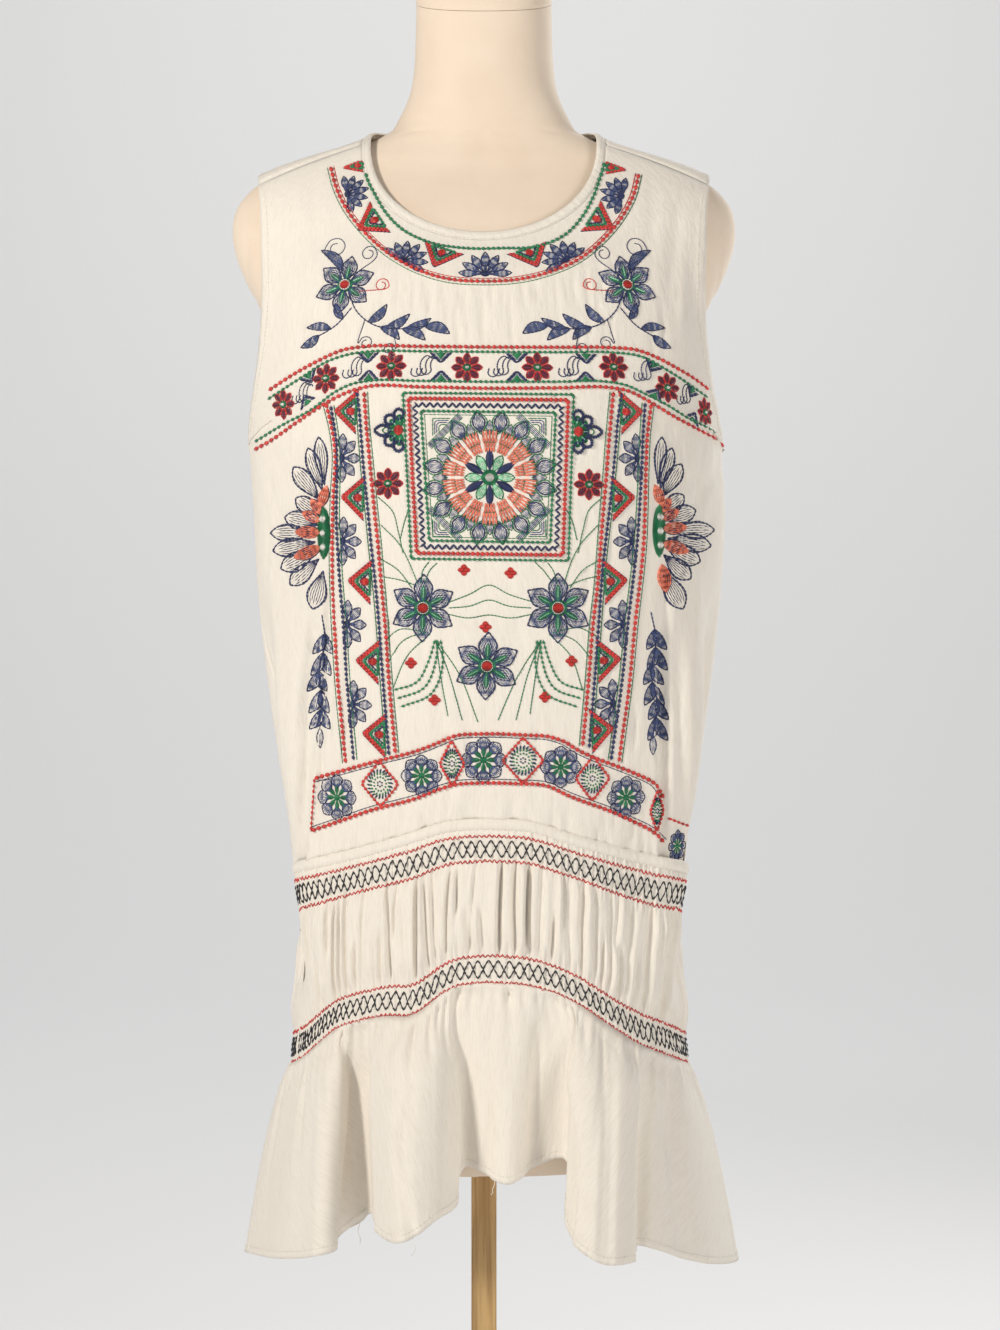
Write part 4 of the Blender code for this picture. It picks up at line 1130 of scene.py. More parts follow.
class Hoop:
    """A sheet seen in the picture, ready to be sewn on."""

    CELL, STEPS = 2, 4      # pixels of the picture in a cell of the lookup, and steps from there
    NEAR = 1.5              # pixels at which a place counts as met

    def __init__(self, sheet, tries=1100):
        self.sheet = sheet
        rows, columns = sheet.points.shape[:2]
        i, j = np.meshgrid(np.linspace(0, rows - 1, tries), np.linspace(0, columns - 1, tries), indexing="ij")
        points = self.at(i, j)[0].reshape(-1, 3)
        cells = np.round(to_photo(points) / self.CELL).astype(int)
        size = (PHOTO_WIDTH // self.CELL, PHOTO_HEIGHT // self.CELL)
        order = np.argsort(-points[:, 1])
        order = order[(cells[order] >= 0).all(1) & (cells[order] < size).all(1)]
        self.start = np.full((*size, 2), np.nan)
        self.start[cells[order, 0], cells[order, 1]] = np.stack([i, j], -1).reshape(-1, 2)[order]

    def at(self, i, j):
        return on_grid(self.sheet, i, j)

    def find(self, places):
        """Point, outward direction and whether it was met, for pixels of the picture."""
        rows, columns = self.sheet.points.shape[:2]
        pixel = np.clip(np.round(places / self.CELL).astype(int), 0, np.array(self.start.shape[:2]) - 1)
        where = self.start[pixel[..., 0], pixel[..., 1]]
        for _ in range(self.STEPS):
            i, j = np.nan_to_num(where[..., 0]), np.nan_to_num(where[..., 1])
            here = to_photo(self.at(i, j)[0])
            step_i, step_j = (
                to_photo(self.at(np.minimum(i + by_i, rows - 1), np.minimum(j + by_j, columns - 1))[0])
                - to_photo(self.at(np.maximum(i - by_i, 0), np.maximum(j - by_j, 0))[0])
                for by_i, by_j in ((0.5, 0), (0, 0.5))
            )
            off = places - here
            turn = step_i[..., 0] * step_j[..., 1] - step_i[..., 1] * step_j[..., 0]
            turn = np.where(np.abs(turn) < 0.05, np.nan, turn)
            move_i = (off[..., 0] * step_j[..., 1] - off[..., 1] * step_j[..., 0]) / turn
            move_j = (step_i[..., 0] * off[..., 1] - step_i[..., 1] * off[..., 0]) / turn
            move = np.nan_to_num(np.stack([move_i, move_j], -1))
            where = np.clip(np.stack([i, j], -1) + np.clip(move, -1.5, 1.5), 0, (rows - 1, columns - 1))
        points, normals = self.at(where[..., 0], where[..., 1])
        met = ~np.isnan(self.start[pixel[..., 0], pixel[..., 1], 0])
        met &= np.abs(to_photo(points) - places).max(-1) < self.NEAR
        return points, normals, met


hoop = Hoop(front)


def spot(x, y, turn=0.0, size=1.0):
    """A motif's own drawing board: takes places in the motif to pixels. turn is clockwise."""
    points, normals, _ = hoop.find(np.array([[float(x), float(y)]]))
    across = np.cross([0, 0, 1], normals[0])
    across /= np.linalg.norm(across)
    down = -np.cross(normals[0], across)
    here = to_photo(points[0])
    sides = np.stack([to_photo(points[0] + UNIT * way) - here for way in (across, down)])
    c, s = math.cos(math.radians(turn)), math.sin(math.radians(turn))
    sides = size * np.array([[c, s], [-s, c]]) @ sides
    return lambda places: np.array([x, y]) + np.asarray(places, float) @ sides


# %% [markdown]
# ## One stitch and one knot
#
# All of the embroidery is made of two small things: a straight stitch, which swells a
# little between the holes that its ends dive into, and a bead-like knot. Each is modelled
# once from a primitive. Then it is copied thousands of times, and every copy is laid along
# the cloth, so it must have only a few faces.

# %% Model the stitch and the knot
def mesh_data(obj):
    """Points and faces of an object, which is then thrown away."""
    points = np.array([v.co[:] for v in obj.data.vertices])
    faces = [tuple(p.vertices) for p in obj.data.polygons]
    bpy.data.objects.remove(obj, do_unlink=True)
    return points, faces


def model_stitch():
    """A bar from x = -0.5 to 0.5, one wide and one high, cut in two and thin at both ends."""
    bpy.ops.object.select_all(action="DESELECT")
    bpy.ops.mesh.primitive_cylinder_add(vertices=3, radius=0.5, depth=1, end_fill_type="NGON")
    bar = bpy.context.object
    # First its ridge turns to one side, then the bar lies down with its ridge on top
    for turn in ((0, 0, 90), (0, 90, 0)):
        bar.rotation_euler = np.radians(turn)
        bpy.ops.object.transform_apply(rotation=True)
    bpy.ops.object.mode_set(mode="EDIT")
    bpy.ops.mesh.select_all(action="SELECT")
    bpy.ops.mesh.bisect(plane_co=(0, 0, 0), plane_no=(1, 0, 0))
    bpy.ops.object.mode_set(mode="OBJECT")
    points, faces = mesh_data(bar)
    points[:, 1] /= np.ptp(points[:, 1])
    points[:, 2] = (points[:, 2] - points[:, 2].min()) / np.ptp(points[:, 2]) - 0.5
    ends = np.abs(points[:, 0]) > 0.4
    points[ends, 1:] *= 0.5
    points[ends, 2] -= 0.22
    return points, faces


def model_knot():
    """A low dome, pointed a little along x."""
    bpy.ops.object.select_all(action="DESELECT")
    bpy.ops.mesh.primitive_uv_sphere_add(segments=6, ring_count=3, radius=0.55)
    bead = bpy.context.object
    bpy.ops.object.mode_set(mode="EDIT")
    bpy.ops.mesh.select_all(action="SELECT")
    bpy.ops.transform.resize(value=(1.0, 1.0, 0.85))
    bpy.ops.object.mode_set(mode="OBJECT")
    return mesh_data(bead)


STITCH, KNOT = model_stitch(), model_knot()
print("faces in a stitch:", len(STITCH[1]), "in a knot:", len(KNOT[1]))

# %% [markdown]
# ## The work basket
#
# Stitches are collected by colour first and sewn at the end, because one mesh for each
# colour is lighter than thousands of small objects. A length of a path is cut into
# stitches by `run`, `beads` sets knots along it, and `satin` lays long stitches side by
# side until the cloth between two edges is covered.

# %% Collecting stitches
basket = {}


def put(colour, starts, ends, width, high=0.75, kind="stitch"):
    """Adds stitches from starts to ends, in pixels. width is in metres, high a share of it."""
    starts, ends = np.atleast_2d(starts).astype(float), np.atleast_2d(ends).astype(float)
    width = np.broadcast_to(width, len(starts)) * (FULL if kind == "stitch" else 1.0)
    high = np.broadcast_to(high, len(starts)).astype(float)
    basket.setdefault((colour, kind), []).append((starts, ends, width, high))


def evenly(path, gap):
    """Points about a gap apart along a path, ends included."""
    path = np.asarray(path, float)
    steps = np.linalg.norm(np.diff(path, axis=0), axis=1)
    length = np.concatenate([[0], np.cumsum(steps)])
    count = max(1, int(round(length[-1] / gap)))
    at = np.linspace(0, length[-1], count + 1)
    return np.stack([np.interp(at, length, path[:, axis]) for axis in (0, 1)], axis=-1)


def curve(points, closed=False):
    """A smooth path through a few points."""
    points = np.asarray(points, float)
    if closed:
        points = np.concatenate([points[-2:], points, points[:3]])
    place = np.concatenate([[0], np.cumsum(np.linalg.norm(np.diff(points, axis=0), axis=1) + 1e-6)])
    path = smooth_columns(np.column_stack([place, points]), max(0.3, place[-1] / 400))
    if closed:
        return path(np.linspace(place[2], place[-3], 80))
    return path(np.linspace(place[0], place[-1], max(12, int(place[-1] / 1.5))))


def run(colour, path, width=0.0009, gap=4.0, high=0.75):
    """Stitches end to end along a path, each reaching a little into the next."""
    points = evenly(path, gap)
    way = np.diff(points, axis=0)
    put(colour, points[:-1] - 0.08 * way, points[1:] + 0.08 * way, width, high)


def beads(colour, path, gap=5.7, size=4.2, wide=0.0027, line=0.0008):
    """Knots along a path, on a thin line of the same colour."""
    points = evenly(path, gap)
    middle = (points[:-1] + points[1:]) / 2
    way = np.diff(points, axis=0)
    way /= np.linalg.norm(way, axis=1, keepdims=True)
    put(colour, middle - way * size * 0.56, middle + way * size * 0.56, wide * 1.2, 0.56, "knot")
    if line:
        run(colour, points, line, gap)


def satin(colour, left, right, gap=0.9, width=0.0008, high=0.6):
    """Side by side stitches from one edge to the other."""
    left, right = np.asarray(left, float), np.asarray(right, float)
    long = max(np.linalg.norm(np.diff(edge, axis=0), axis=1).sum() for edge in (left, right))
    count = max(2, int(long / gap))
    share = (np.arange(count) + 0.5) / count
    ends = []
    for edge in (left, right):
        steps = np.concatenate([[0], np.cumsum(np.linalg.norm(np.diff(edge, axis=0), axis=1) + 1e-9)])
        ends.append(np.stack([np.interp(share * steps[-1], steps, edge[:, axis]) for axis in (0, 1)], axis=-1))
    put(colour, *ends, width, high)


# %% [markdown]
# ## Petals and leaves
#
# Nearly every flower here is the same petal, turned and repeated. A petal is two curved
# edges from its foot to its tip. It can be outlined, hatched along its length with fine
# open stitches, which read as a paler blue, or covered in satin stitch.

# %% A petal
FINE = 0.00042


def petal_edges(foot, tip, wide, fullest=0.55, steps=15, bow=0.0, sharp=0.85):
    """The two edges of a petal, foot to tip, in the motif's own measures."""
    foot, tip = np.asarray(foot, float), np.asarray(tip, float)
    way = tip - foot
    side = np.array([-way[1], way[0]]) / np.linalg.norm(way)
    share = np.linspace(0, 1, steps)[:, None]
    power = math.log(0.5) / math.log(fullest)
    swell = wide / 2 * np.sin(math.pi * share**power) ** sharp
    middle = foot + way * share + side * bow * np.sin(math.pi * share)
    return middle + side * swell, middle - side * swell


def flat(places):
    """The board of what is drawn in the picture's own pixels."""
    return np.asarray(places, float)


def outline(colour, board, edges, width=0.0009):
    for edge in edges:
        run(colour, board(edge), width)


def petal(
    board, foot, tip, wide, edge="navy", fill=None, fullest=0.55, gap=1.15, thick=0.0009,
    bow=0.0, lines=FINE, sharp=0.85,
):
    """One petal: its outline, and fine lines along it or nothing inside."""
    left, right = petal_edges(foot, tip, wide, fullest, bow=bow, sharp=sharp)
    if fill:
        count = max(1, int(wide / gap))
        for step in range(count):
            share = (step + 0.5) / count
            line = left * (1 - share) + right * share
            line = line[2:-2] if step % 2 else line[1:-3]
            run(fill, board(line), lines, 6.0, 0.6)
    outline(edge, board, (left, right), thick)


def satin_petal(board, foot, tip, wide, colour, fullest=0.5, gap=0.85, width=0.0008, high=0.6):
    left, right = petal_edges(foot, tip, wide, fullest)
    satin(colour, board(left), board(right), gap, width, high)


def disc(board, centre, radius, colour, gap=0.9, width=0.0009, squash=1.0, high=0.8):
    """A round patch of satin stitch."""
    angle = np.linspace(0.06, math.pi - 0.06, 13)
    x, y = radius * np.cos(angle), radius * squash * np.sin(angle)
    left = np.stack([centre[0] + x, centre[1] - y], -1)
    right = np.stack([centre[0] + x, centre[1] + y], -1)
    satin(colour, board(left), board(right), gap, width, high)


def polar(radius, degrees):
    """Place in a motif at a distance and a clockwise angle from straight up."""
    angle = np.radians(degrees)
    return np.stack([radius * np.sin(angle), -radius * np.cos(angle)], axis=-1)


def loop_path(radius, squash=1.0, steps=40):
    return polar(radius, np.linspace(0, 360, steps)) * (1, squash)


# %% [markdown]
# ## The flowers
#
# Five flowers carry the design: a small dark star, a six-petalled flower, the eight-petalled
# flower of the lower band, the fan of seven or five petals, and the half flower at each side.
# All are ordinary figures of folk needlework, drawn here from their petal counts and sizes.

# %% Star, six-petalled and eight-petalled flowers
def star_flower(board, radius=15.5):
    """Small dark flower: eight satin petals with a red edge, a green ring and a white eye."""
    for angle in range(0, 360, 45):
        foot, tip = polar(radius * 0.22, angle), polar(radius, angle)
        satin_petal(board, foot, tip, radius * 0.40, "burgundy", 0.58, 0.95)
        outline("red", board, petal_edges(foot, tip, radius * 0.50, 0.58, 9), 0.0008)
    disc(board, (0, 0), radius * 0.26, "green", high=1.2)
    disc(board, (0, 0), radius * 0.11, "white", 0.7, high=2.0)


def six_flower(board, radius=32.0, turn=0.0):
    """Six pointed petals, navy and hatched, each with a green heart, round a red eye."""
    for angle in np.arange(0, 360, 60) + turn:
        petal(
            board, polar(4, angle), polar(radius, angle), radius * 0.55, "navy", "slate", 0.53, 1.25, 0.0010,
            lines=0.00045, sharp=1.2,
        )
        inner = petal_edges(polar(5, angle), polar(radius * 0.80, angle), radius * 0.27, 0.5, 9, sharp=1.2)
        outline("navy", board, inner, 0.0006)
        satin_petal(board, polar(6, angle), polar(radius * 0.68, angle), radius * 0.19, "green", 0.5, 1.0)
        run("mint", board([polar(radius * 0.30, angle), polar(radius * 0.60, angle)]), 0.0007, 2.2, 2.2)
    disc(board, (0, 0), radius * 0.25, "green")
    run("white", board(loop_path(radius * 0.17)), 0.0007, 2.4, 2.2)
    disc(board, (0, 0), radius * 0.14, "red", 0.8, 0.0010, high=1.9)


def eight_flower(board, radius=22.0):
    """Eight round hatched petals, a white gap and a green star with eight rays."""
    for angle in range(0, 360, 45):
        foot, tip = polar(radius * 0.36, angle), polar(radius, angle)
        petal(board, foot, tip, radius * 0.62, "navy", "slate", 0.62, 1.15, 0.0008)
        inner = petal_edges(polar(radius * 0.40, angle), polar(radius * 0.80, angle), radius * 0.34, 0.6, 9)
        outline("slate", board, inner, 0.0005)
    for angle in range(0, 360, 45):
        foot, tip = polar(1, angle), polar(radius * 0.52, angle)
        satin_petal(board, foot, tip, radius * 0.22, "green", 0.65, 0.95, 0.0008, 0.8)
    disc(board, (0, 0), radius * 0.14, "green")


# %% Fan and half flower
def lotus_fan(board, high=27.0, wide=27.0, petals=7):
    """Pointed petals that open upwards from one foot, darkest where they meet."""
    for angle in np.linspace(-81, 81, petals):
        tip = polar(1.0, angle) * (wide, high) * (1.08 - 0.12 * abs(angle) / 81)
        long = np.hypot(*tip)
        foot = tip * 0.14 + (0, -1.5)
        left, right = petal_edges(foot, tip, long * 2.1 / petals, 0.62, sharp=1.1)
        for share in np.linspace(0.12, 0.88, 6):
            run("slate", board((left * (1 - share) + right * share)[1:-2]), 0.0005, 5.0, 0.6)
        outline("navy", board, (left, right), 0.0008)
        left, right = petal_edges(foot, tip * 0.52, long * 0.9 / petals, 0.5, 9)
        satin("navy", board(left), board(right), 1.3, 0.0006)
    disc(board, (0, -3.0), 4.6, "navy", 0.9, 0.0008, 0.8)


def half_flower(hub, petals, inner, side):
    """Half of a large flower against a band. petals and inner list the tips and widths."""
    for x, y, wide in petals:
        foot = np.array([hub[0] + 0.20 * (x - hub[0]), hub[1] + 0.50 * (y - hub[1])])
        petal(flat, foot, (x, y), wide * 1.02, "navy", "navy", 0.62, 2.2, 0.0011, lines=0.00055, sharp=0.8)
    for x, y, wide in inner:
        foot = np.array([hub[0] + side * 5, hub[1] + 0.55 * (y - hub[1])])
        left, right = petal_edges(foot, (x, y), wide * 1.15, 0.5, sharp=0.7)
        for share in np.linspace(0.08, 0.92, max(4, int(wide / 1.7))):
            run("coral", left * (1 - share) + right * share, 0.0010, 6.0, 1.5)
        run("navy", right if y > hub[1] else left, 0.0007)
    hub_x = hub[0] + side * 2
    satin("green", *petal_edges((hub_x, hub[1] - 26), (hub_x, hub[1] + 26), 13, 0.5, sharp=0.5), 0.9, 0.0009, 2.0)
    for step in (-14, 0, 14):
        disc(flat, (hub[0] + side * 2.2, hub[1] + step), 2.4, "white", 0.9, 0.0008, 2.0, high=3.0)


# %% [markdown]
# ## Triangles, diamonds and curls
#
# Between the flowers stand the small figures that fill a folk band: nested triangles,
# chevrons, dotted diamonds and curls of thin line.

# %% Small figures of the bands
def nested_triangle(board, wide=43.0, high=27.0):
    """A triangle with its foot on the x axis and its apex up: red, red, green, navy, red eye."""
    def inside(share, drop=0.0):
        half = wide / 2 * share
        return [(-half, -drop), (0, -high * share - drop), (half, -drop)]

    run("navy", board(inside(1.03)), 0.0008)
    beads("red", board(inside(0.95, 0.4)), 3.8, 3.3, 0.0021, 0.0010)
    beads("red", board(inside(0.80, 0.9)), 3.8, 3.3, 0.0018, 0.0010)
    beads("green", board(inside(0.62, 1.6) + [inside(0.62, 1.6)[0]]), 3.6, 3.2, 0.0022, 0.0011)
    run("navy", board(inside(0.42, 2.6)), 0.0012)
    disc(board, (0, -high * 0.27), 3.3, "red", 0.8, 0.0010, 1.5, high=1.6)


def chevron_triangle(board, wide=21.0, high=11.0):
    """Small solid triangle with its foot on the x axis: a navy edge over a green heart."""
    half = wide / 2
    for inset in (0.0, 1.3):
        run("navy", board([(-half + inset, 0), (0, -high + inset), (half - inset, 0)]), 0.0010)
    run("slate", board([(-half + 3.2, 0), (0, -high + 3.0), (half - 3.2, 0)]), 0.0006)
    heart = [board([(side * (half - 5), 0), (0, -high + 4.6)]) for side in (-1, 1)]
    satin("green", *heart, 0.9, 0.0009)


def curls(board):
    """Three nested curls of thin line, like water."""
    for step, reach in enumerate((0, 5.5, 10.5)):
        path = curve([
            (-12 + reach, 2), (-13 + reach, 8 - step), (-8 + reach, 11 - step), (-3 + reach, 7 - step),
            (-4 + reach, 0), (-2 + reach, -7), (3 + reach * 0.8, -11 + step), (8 + reach * 0.6, -8 + step),
        ])
        run("navy", board(path), 0.0008, 2.6)


def dotted_diamond(board, wide=21.0, high=23.0):
    """A red dotted diamond round a ring of green and navy dashes."""
    beads("red", board([(0, -high), (wide, 0), (0, high), (-wide, 0), (0, -high)]), 4.6, 3.5, 0.0021)
    for radius, colour, count in ((12.2, "navy", 22), (9.8, "green", 18), (6.4, "green", 13)):
        for angle in np.arange(count) * 360 / count:
            squeeze = (min(1.0, wide / 20), 1.1)
            start = polar(radius * 0.90, angle) * squeeze
            end = polar(radius * 1.10, angle + 7) * squeeze
            put(colour, board([start * 0.97]), board([end * 1.04]), 0.0011)
    for angle in range(0, 360, 60):
        place = polar(2.6, angle)
        put("navy", board([place - (0.9, 0)]), board([place + (0.9, 0)]), 0.0015, 0.6, "knot")


def four_dot(board, radius=5.2):
    """A small red blossom of four round petals."""
    for angle in range(0, 360, 90):
        disc(board, polar(radius * 0.62, angle), radius * 0.48, "red", 0.8, 0.0010)


# %% [markdown]
# ## The neck band
#
# The band that follows the neckline has a dotted red line outside between two fine green
# ones, a dotted green line inside, and fans and triangles in turn between them. Fans and
# triangles all point to the middle of the neck.

# %% Embroider the neck band
NECK_MIDDLE = (485, 150)
yoke_outer = curve([
    (330.7, 167), (336.6, 189), (347, 210), (363.7, 231.5), (387, 252.7), (413, 268), (446, 278.7), (484, 281.5),
    (517, 279.8), (548, 272.8), (578.4, 259.8), (604.4, 238.5), (623.3, 215), (633.9, 193.7), (638.6, 174),
])
yoke_inner = curve([
    (364.5, 158.5), (366.5, 177), (375.5, 196), (387.3, 215), (401.5, 229), (427.4, 242), (465, 248.5),
    (503, 248.5), (536, 247), (566.6, 233.8), (583.5, 215), (595.5, 191.3), (604, 163),
])


def beside(path, distance):
    """A path moved a distance to the right of another, looking along it in the picture."""
    way = np.gradient(path, axis=0)
    way /= np.linalg.norm(way, axis=1, keepdims=True)
    return path + distance * np.stack([-way[:, 1], way[:, 0]], axis=-1)


def towards(x, y, aim=NECK_MIDDLE):
    """Clockwise turn that points a motif at a place."""
    return math.degrees(math.atan2(aim[0] - x, y - aim[1]))


beads("red", yoke_outer)
for away in (3.4, -3.2):
    run("green" if away > 0 else "red", beside(yoke_outer, away), 0.0006)
beads("green", yoke_inner, 5.0, 3.9, 0.0024)
for x, y, size in ((345, 195, 0.95), (402.5, 262, 1.0), (485.2, 276, 1.05), (567.5, 262, 1.0), (624, 197, 0.95)):
    lotus_fan(spot(x, y, towards(x, y), size), 25, 27)
for x, y in ((380.5, 217), (444.5, 248), (526.5, 248), (590.5, 216)):
    nested_triangle(spot(x, y, towards(x, y) + 180), 42, 27)
for x, y, turn in ((363.5, 166, -95), (605.5, 168, 95)):
    nested_triangle(spot(x, y, turn, 0.8), 20, 27)

# %% [markdown]
# ## The chest band
#
# A band from armhole to armhole, straight in the middle and falling to the sides. Dotted
# red and green lines run along both edges. Stars, pairs of small triangles and curls take
# turns between them.

# %% Embroider the chest band
beads("red", curve([
    (269, 390.5), (295.5, 373.5), (323, 358.7), (343.6, 350), (366, 346.6), (420, 346.6), (484, 347.2),
    (560, 347.5), (610, 347.8), (637, 350.3), (655, 357), (676, 368), (694.5, 379), (708.5, 389.6),
]))
beads("green", curve([
    (268, 399.5), (301, 378), (328.8, 361), (352, 353.8), (372, 351.5), (425, 351.5), (484, 352), (560, 352.4),
    (612, 352.6), (639, 356), (670.5, 372.5), (707.5, 397.5),
]), 5.2, 3.6, 0.0021)
beads("green", curve([
    (254.8, 442), (284.4, 424), (312, 409.5), (336, 391.5), (352, 384), (372, 380.6), (420, 381), (484, 381.8),
    (560, 381.8), (605, 381.6), (625, 385), (645, 394), (665, 404), (689, 418.8), (713, 430.8), (724, 440),
]), 5.2, 3.6, 0.0021)
beads("red", curve([
    (254.5, 450), (270.5, 441), (295.5, 423.5), (323.2, 405), (343.6, 394), (365.8, 387), (420, 387), (484, 388.4),
    (560, 388), (609.5, 387.7), (628, 391), (646.5, 400.3), (674.2, 416.9), (702, 431.7), (718.6, 441), (727, 452),
]))
for x, y in (
    (283.5, 404.5), (326, 378.5), (391.3, 366), (467, 367.5), (537.3, 367.5), (613.5, 367), (667.2, 387.7),
    (704.7, 412.3),
):
    star_flower(spot(x, y), 15.5)
for x, y in ((299, 393), (352, 367.5), (421, 366), (498, 366.5), (568, 366.5), (641.5, 371), (682, 394.5)):
    curls(spot(x + 3, y))
for x, y, low_y in (
    (308, 374, 404), (368.5, 353, 380), (441, 353, 380.5), (517, 353.5, 381), (586, 354, 381.5), (653.8, 363, 397.5),
    (692.7, 388.5, 421),
):
    lean = 0 if 365 < x < 620 else (-32 if x < 365 else 32)
    chevron_triangle(spot(x, y, 180 + lean))
    chevron_triangle(spot(x, low_y, lean))

# %% [markdown]
# ## The upright bands
#
# Two bands run from the chest band down to the lower band and lean inwards a little. Each
# has a navy and a red dotted line along both of its edges. Fans lie on the outer edge and
# point inwards, and triangles stand on the inner edge and point outwards.

# %% Embroider the upright bands
left_band = {
    "outer red": [
        (326, 403), (332, 427), (335, 446), (333.5, 500), (332.5, 557), (334.5, 618), (338, 680), (346, 763),
    ],
    "outer navy": [
        (331, 406), (336.2, 441), (337, 478), (336.5, 515), (338, 552), (340.5, 589), (343, 618), (347, 680),
        (354, 760),
    ],
    "inner navy": [
        (357, 392), (359.5, 413), (361.5, 441), (364.5, 478), (367.5, 506), (371, 543), (375, 580), (378.5, 618),
        (383, 680), (389, 755),
    ],
    "inner red": [
        (364.3, 392), (366, 422), (368.8, 450), (372.3, 487), (375, 515), (378, 543), (381, 580), (384.5, 618),
        (389, 680), (395.5, 753),
    ],
}
right_band = {
    "outer red": [
        (651, 404), (647.4, 431.7), (645.7, 468.7), (644.8, 505.7), (643.5, 542.7), (640, 579.7), (635.4, 618.5),
        (629.5, 680), (618.5, 762),
    ],
    "outer navy": [
        (645, 403), (643, 431.7), (641.5, 468.7), (639.5, 505.7), (637, 542.7), (633, 579.7), (628.3, 618.5),
        (622, 680), (611, 760),
    ],
    "inner navy": [
        (621.5, 393), (617.8, 418.8), (616, 441), (612.5, 478), (609.8, 505.7), (606.5, 533.4), (602.5, 570.4),
        (599, 618.5), (594.5, 680), (589, 748),
    ],
    "inner red": [
        (613.3, 392), (610.4, 422), (608, 450), (606, 478), (602.8, 515), (600, 552), (597, 589), (593.5, 618.5),
        (588.5, 680), (582.5, 746),
    ],
}
for band, side in ((left_band, -1), (right_band, 1)):
    for name, path in band.items():
        path = curve(path)
        outer, colour = name.split()
        away = -side if outer == "outer" else side
        if colour == "red":
            beads("red", path, 5.7, 4.3, 0.0028)
            run("green", beside(path, away * 3.4), 0.0007)
        else:
            beads("navy", path, 5.2, 3.9, 0.0024, 0.0009)
            run("green", beside(path, -away * 3.0), 0.0008)
for x, y, turn in (
    (339.5, 458, 93), (340.5, 541, 93), (345, 624, 93), (350.5, 704, 93),
    (639.5, 458, -93), (634.5, 541, -93), (625.5, 624, -93), (615.5, 703, -93),
):
    lotus_fan(spot(x, y, turn, 0.92), 24, 28, 5)
for x, y, turn in (
    (357.5, 411.5, -87), (364.5, 498, -86), (371.5, 582, -86), (379.5, 662, -86), (386, 735, -86),
    (619.5, 412, 87), (611.5, 498.5, 86), (603.5, 582, 85), (597, 661, 85), (590.5, 731, 84),
):
    nested_triangle(spot(x, y, turn), 44, 25)

# %% [markdown]
# ## The square
#
# In the middle of the chest sits a square with a rosette, the richest piece of the work.
# From outside to inside: dotted green, dotted red, a navy zigzag, dotted green, corner
# angles, and a round flower of four rings.

# %% Embroider the square
SQUARE = [(408.5, 398.5), (568, 400.2), (562.8, 555), (416.8, 553)]     # its red line


def square_path(out):
    """The square, moved out on all sides."""
    shape = np.array(SQUARE, float)
    middle = shape.mean(axis=0)
    moved = shape + np.sign(shape - middle) * out
    return np.concatenate([moved, moved[:1]])


def zigzag(path, gap, reach):
    """A path that swings from side to side of another."""
    points = evenly(path, gap / 2)
    return beside(points, reach * np.where(np.arange(len(points)) % 2, 1, -1)[:, None])


for start in range(4):
    side = slice(start, start + 2)
    beads("green", square_path(5.6)[side], 5.0, 3.6, 0.0021)
    beads("red", square_path(0)[side], 4.9, 4.1, 0.0030)
    swing = zigzag(square_path(-6.3)[side], 7.6, 2.6)
    put("navy", swing[:-1], swing[1:], 0.0013)
    beads("green", square_path(-12.5)[side], 5.0, 3.7, 0.0022)
    run("green", square_path(-16)[side], 0.0005)

rosette = spot(489.7, 477.5)
for step in range(16):
    angle = step * 22.5 + 11.25
    petal(rosette, polar(42, angle + 11.25), polar(57, angle + 11.25), 8, "green", "slate", 0.5, 1.3, 0.0006)
    petal(rosette, polar(44, angle), polar(68, angle), 17, "green", None, 0.5, 1.2, 0.0008, sharp=1.2)
    petal(rosette, polar(46, angle), polar(66, angle), 13, "navy", "slate", 0.5, 1.5, 0.0008, lines=0.0005, sharp=1.1)
# Coral wedges: bars of open satin between red edges
for step in range(14):
    angle = step * 360 / 14
    for ring_start, ring_end, half, bars in ((26, 35, 7.5, 4), (35, 47, 8.5, 5)):
        for bar in np.linspace(-half, half, bars):
            run("coral", rosette([polar(ring_start, angle + bar * 1.1), polar(ring_end, angle + bar)]), 0.0014, 6)
        for edge in (-half * 1.15, half * 1.15):
            run("navy", rosette([polar(ring_start, angle + edge), polar(ring_end, angle + edge)]), 0.0007, 5)
        run("green", rosette(polar(ring_end, angle + np.linspace(-half * 1.2, half * 1.2, 5))), 0.0008, 4)
for step in range(12):
    angle = step * 30
    if step % 2:
        petal(rosette, polar(6, angle), polar(25, angle), 9.0, "green", "mint", 0.6, 1.7, 0.0008, lines=0.0008)
    else:
        satin_petal(rosette, polar(6, angle), polar(29, angle), 8.0, "navy", 0.55, 0.9, 0.0009)
disc(rosette, (0, 0), 8.0, "green")
disc(rosette, (0, 0), 4.2, "white", 0.8, high=2.4)
# Corner angles and the bars across the corners
for corner_x in (-1, 1):
    for corner_y in (-1, 1):
        way, middle = np.array([corner_x, corner_y]), np.array([489.3, 477.5])
        corner = middle + way * (56.5, 59.0)
        for step in range(4):
            inset = step * 2.0
            arm = 17 - inset * 0.7
            path = [corner - way * places for places in ((arm, inset), (inset, inset), (inset, arm))]
            run("slate" if step in (1, 2) else "green", path, 0.0007)
        start, end = middle + way * (60, 31), middle + way * (29, 62)
        for step in range(5):
            shift = -way / math.sqrt(2) * (step - 2) * 1.5
            run("green" if step in (0, 4) else "slate", [start + shift, end + shift], 0.0006, 5)

# %% [markdown]
# ## Around the square
#
# A scalloped half star sits on each side of the square with a dark star under it. Below
# are three six-petalled flowers, small red blossoms, fine green stems that rise and fan
# out, and three dotted arcs on each side.

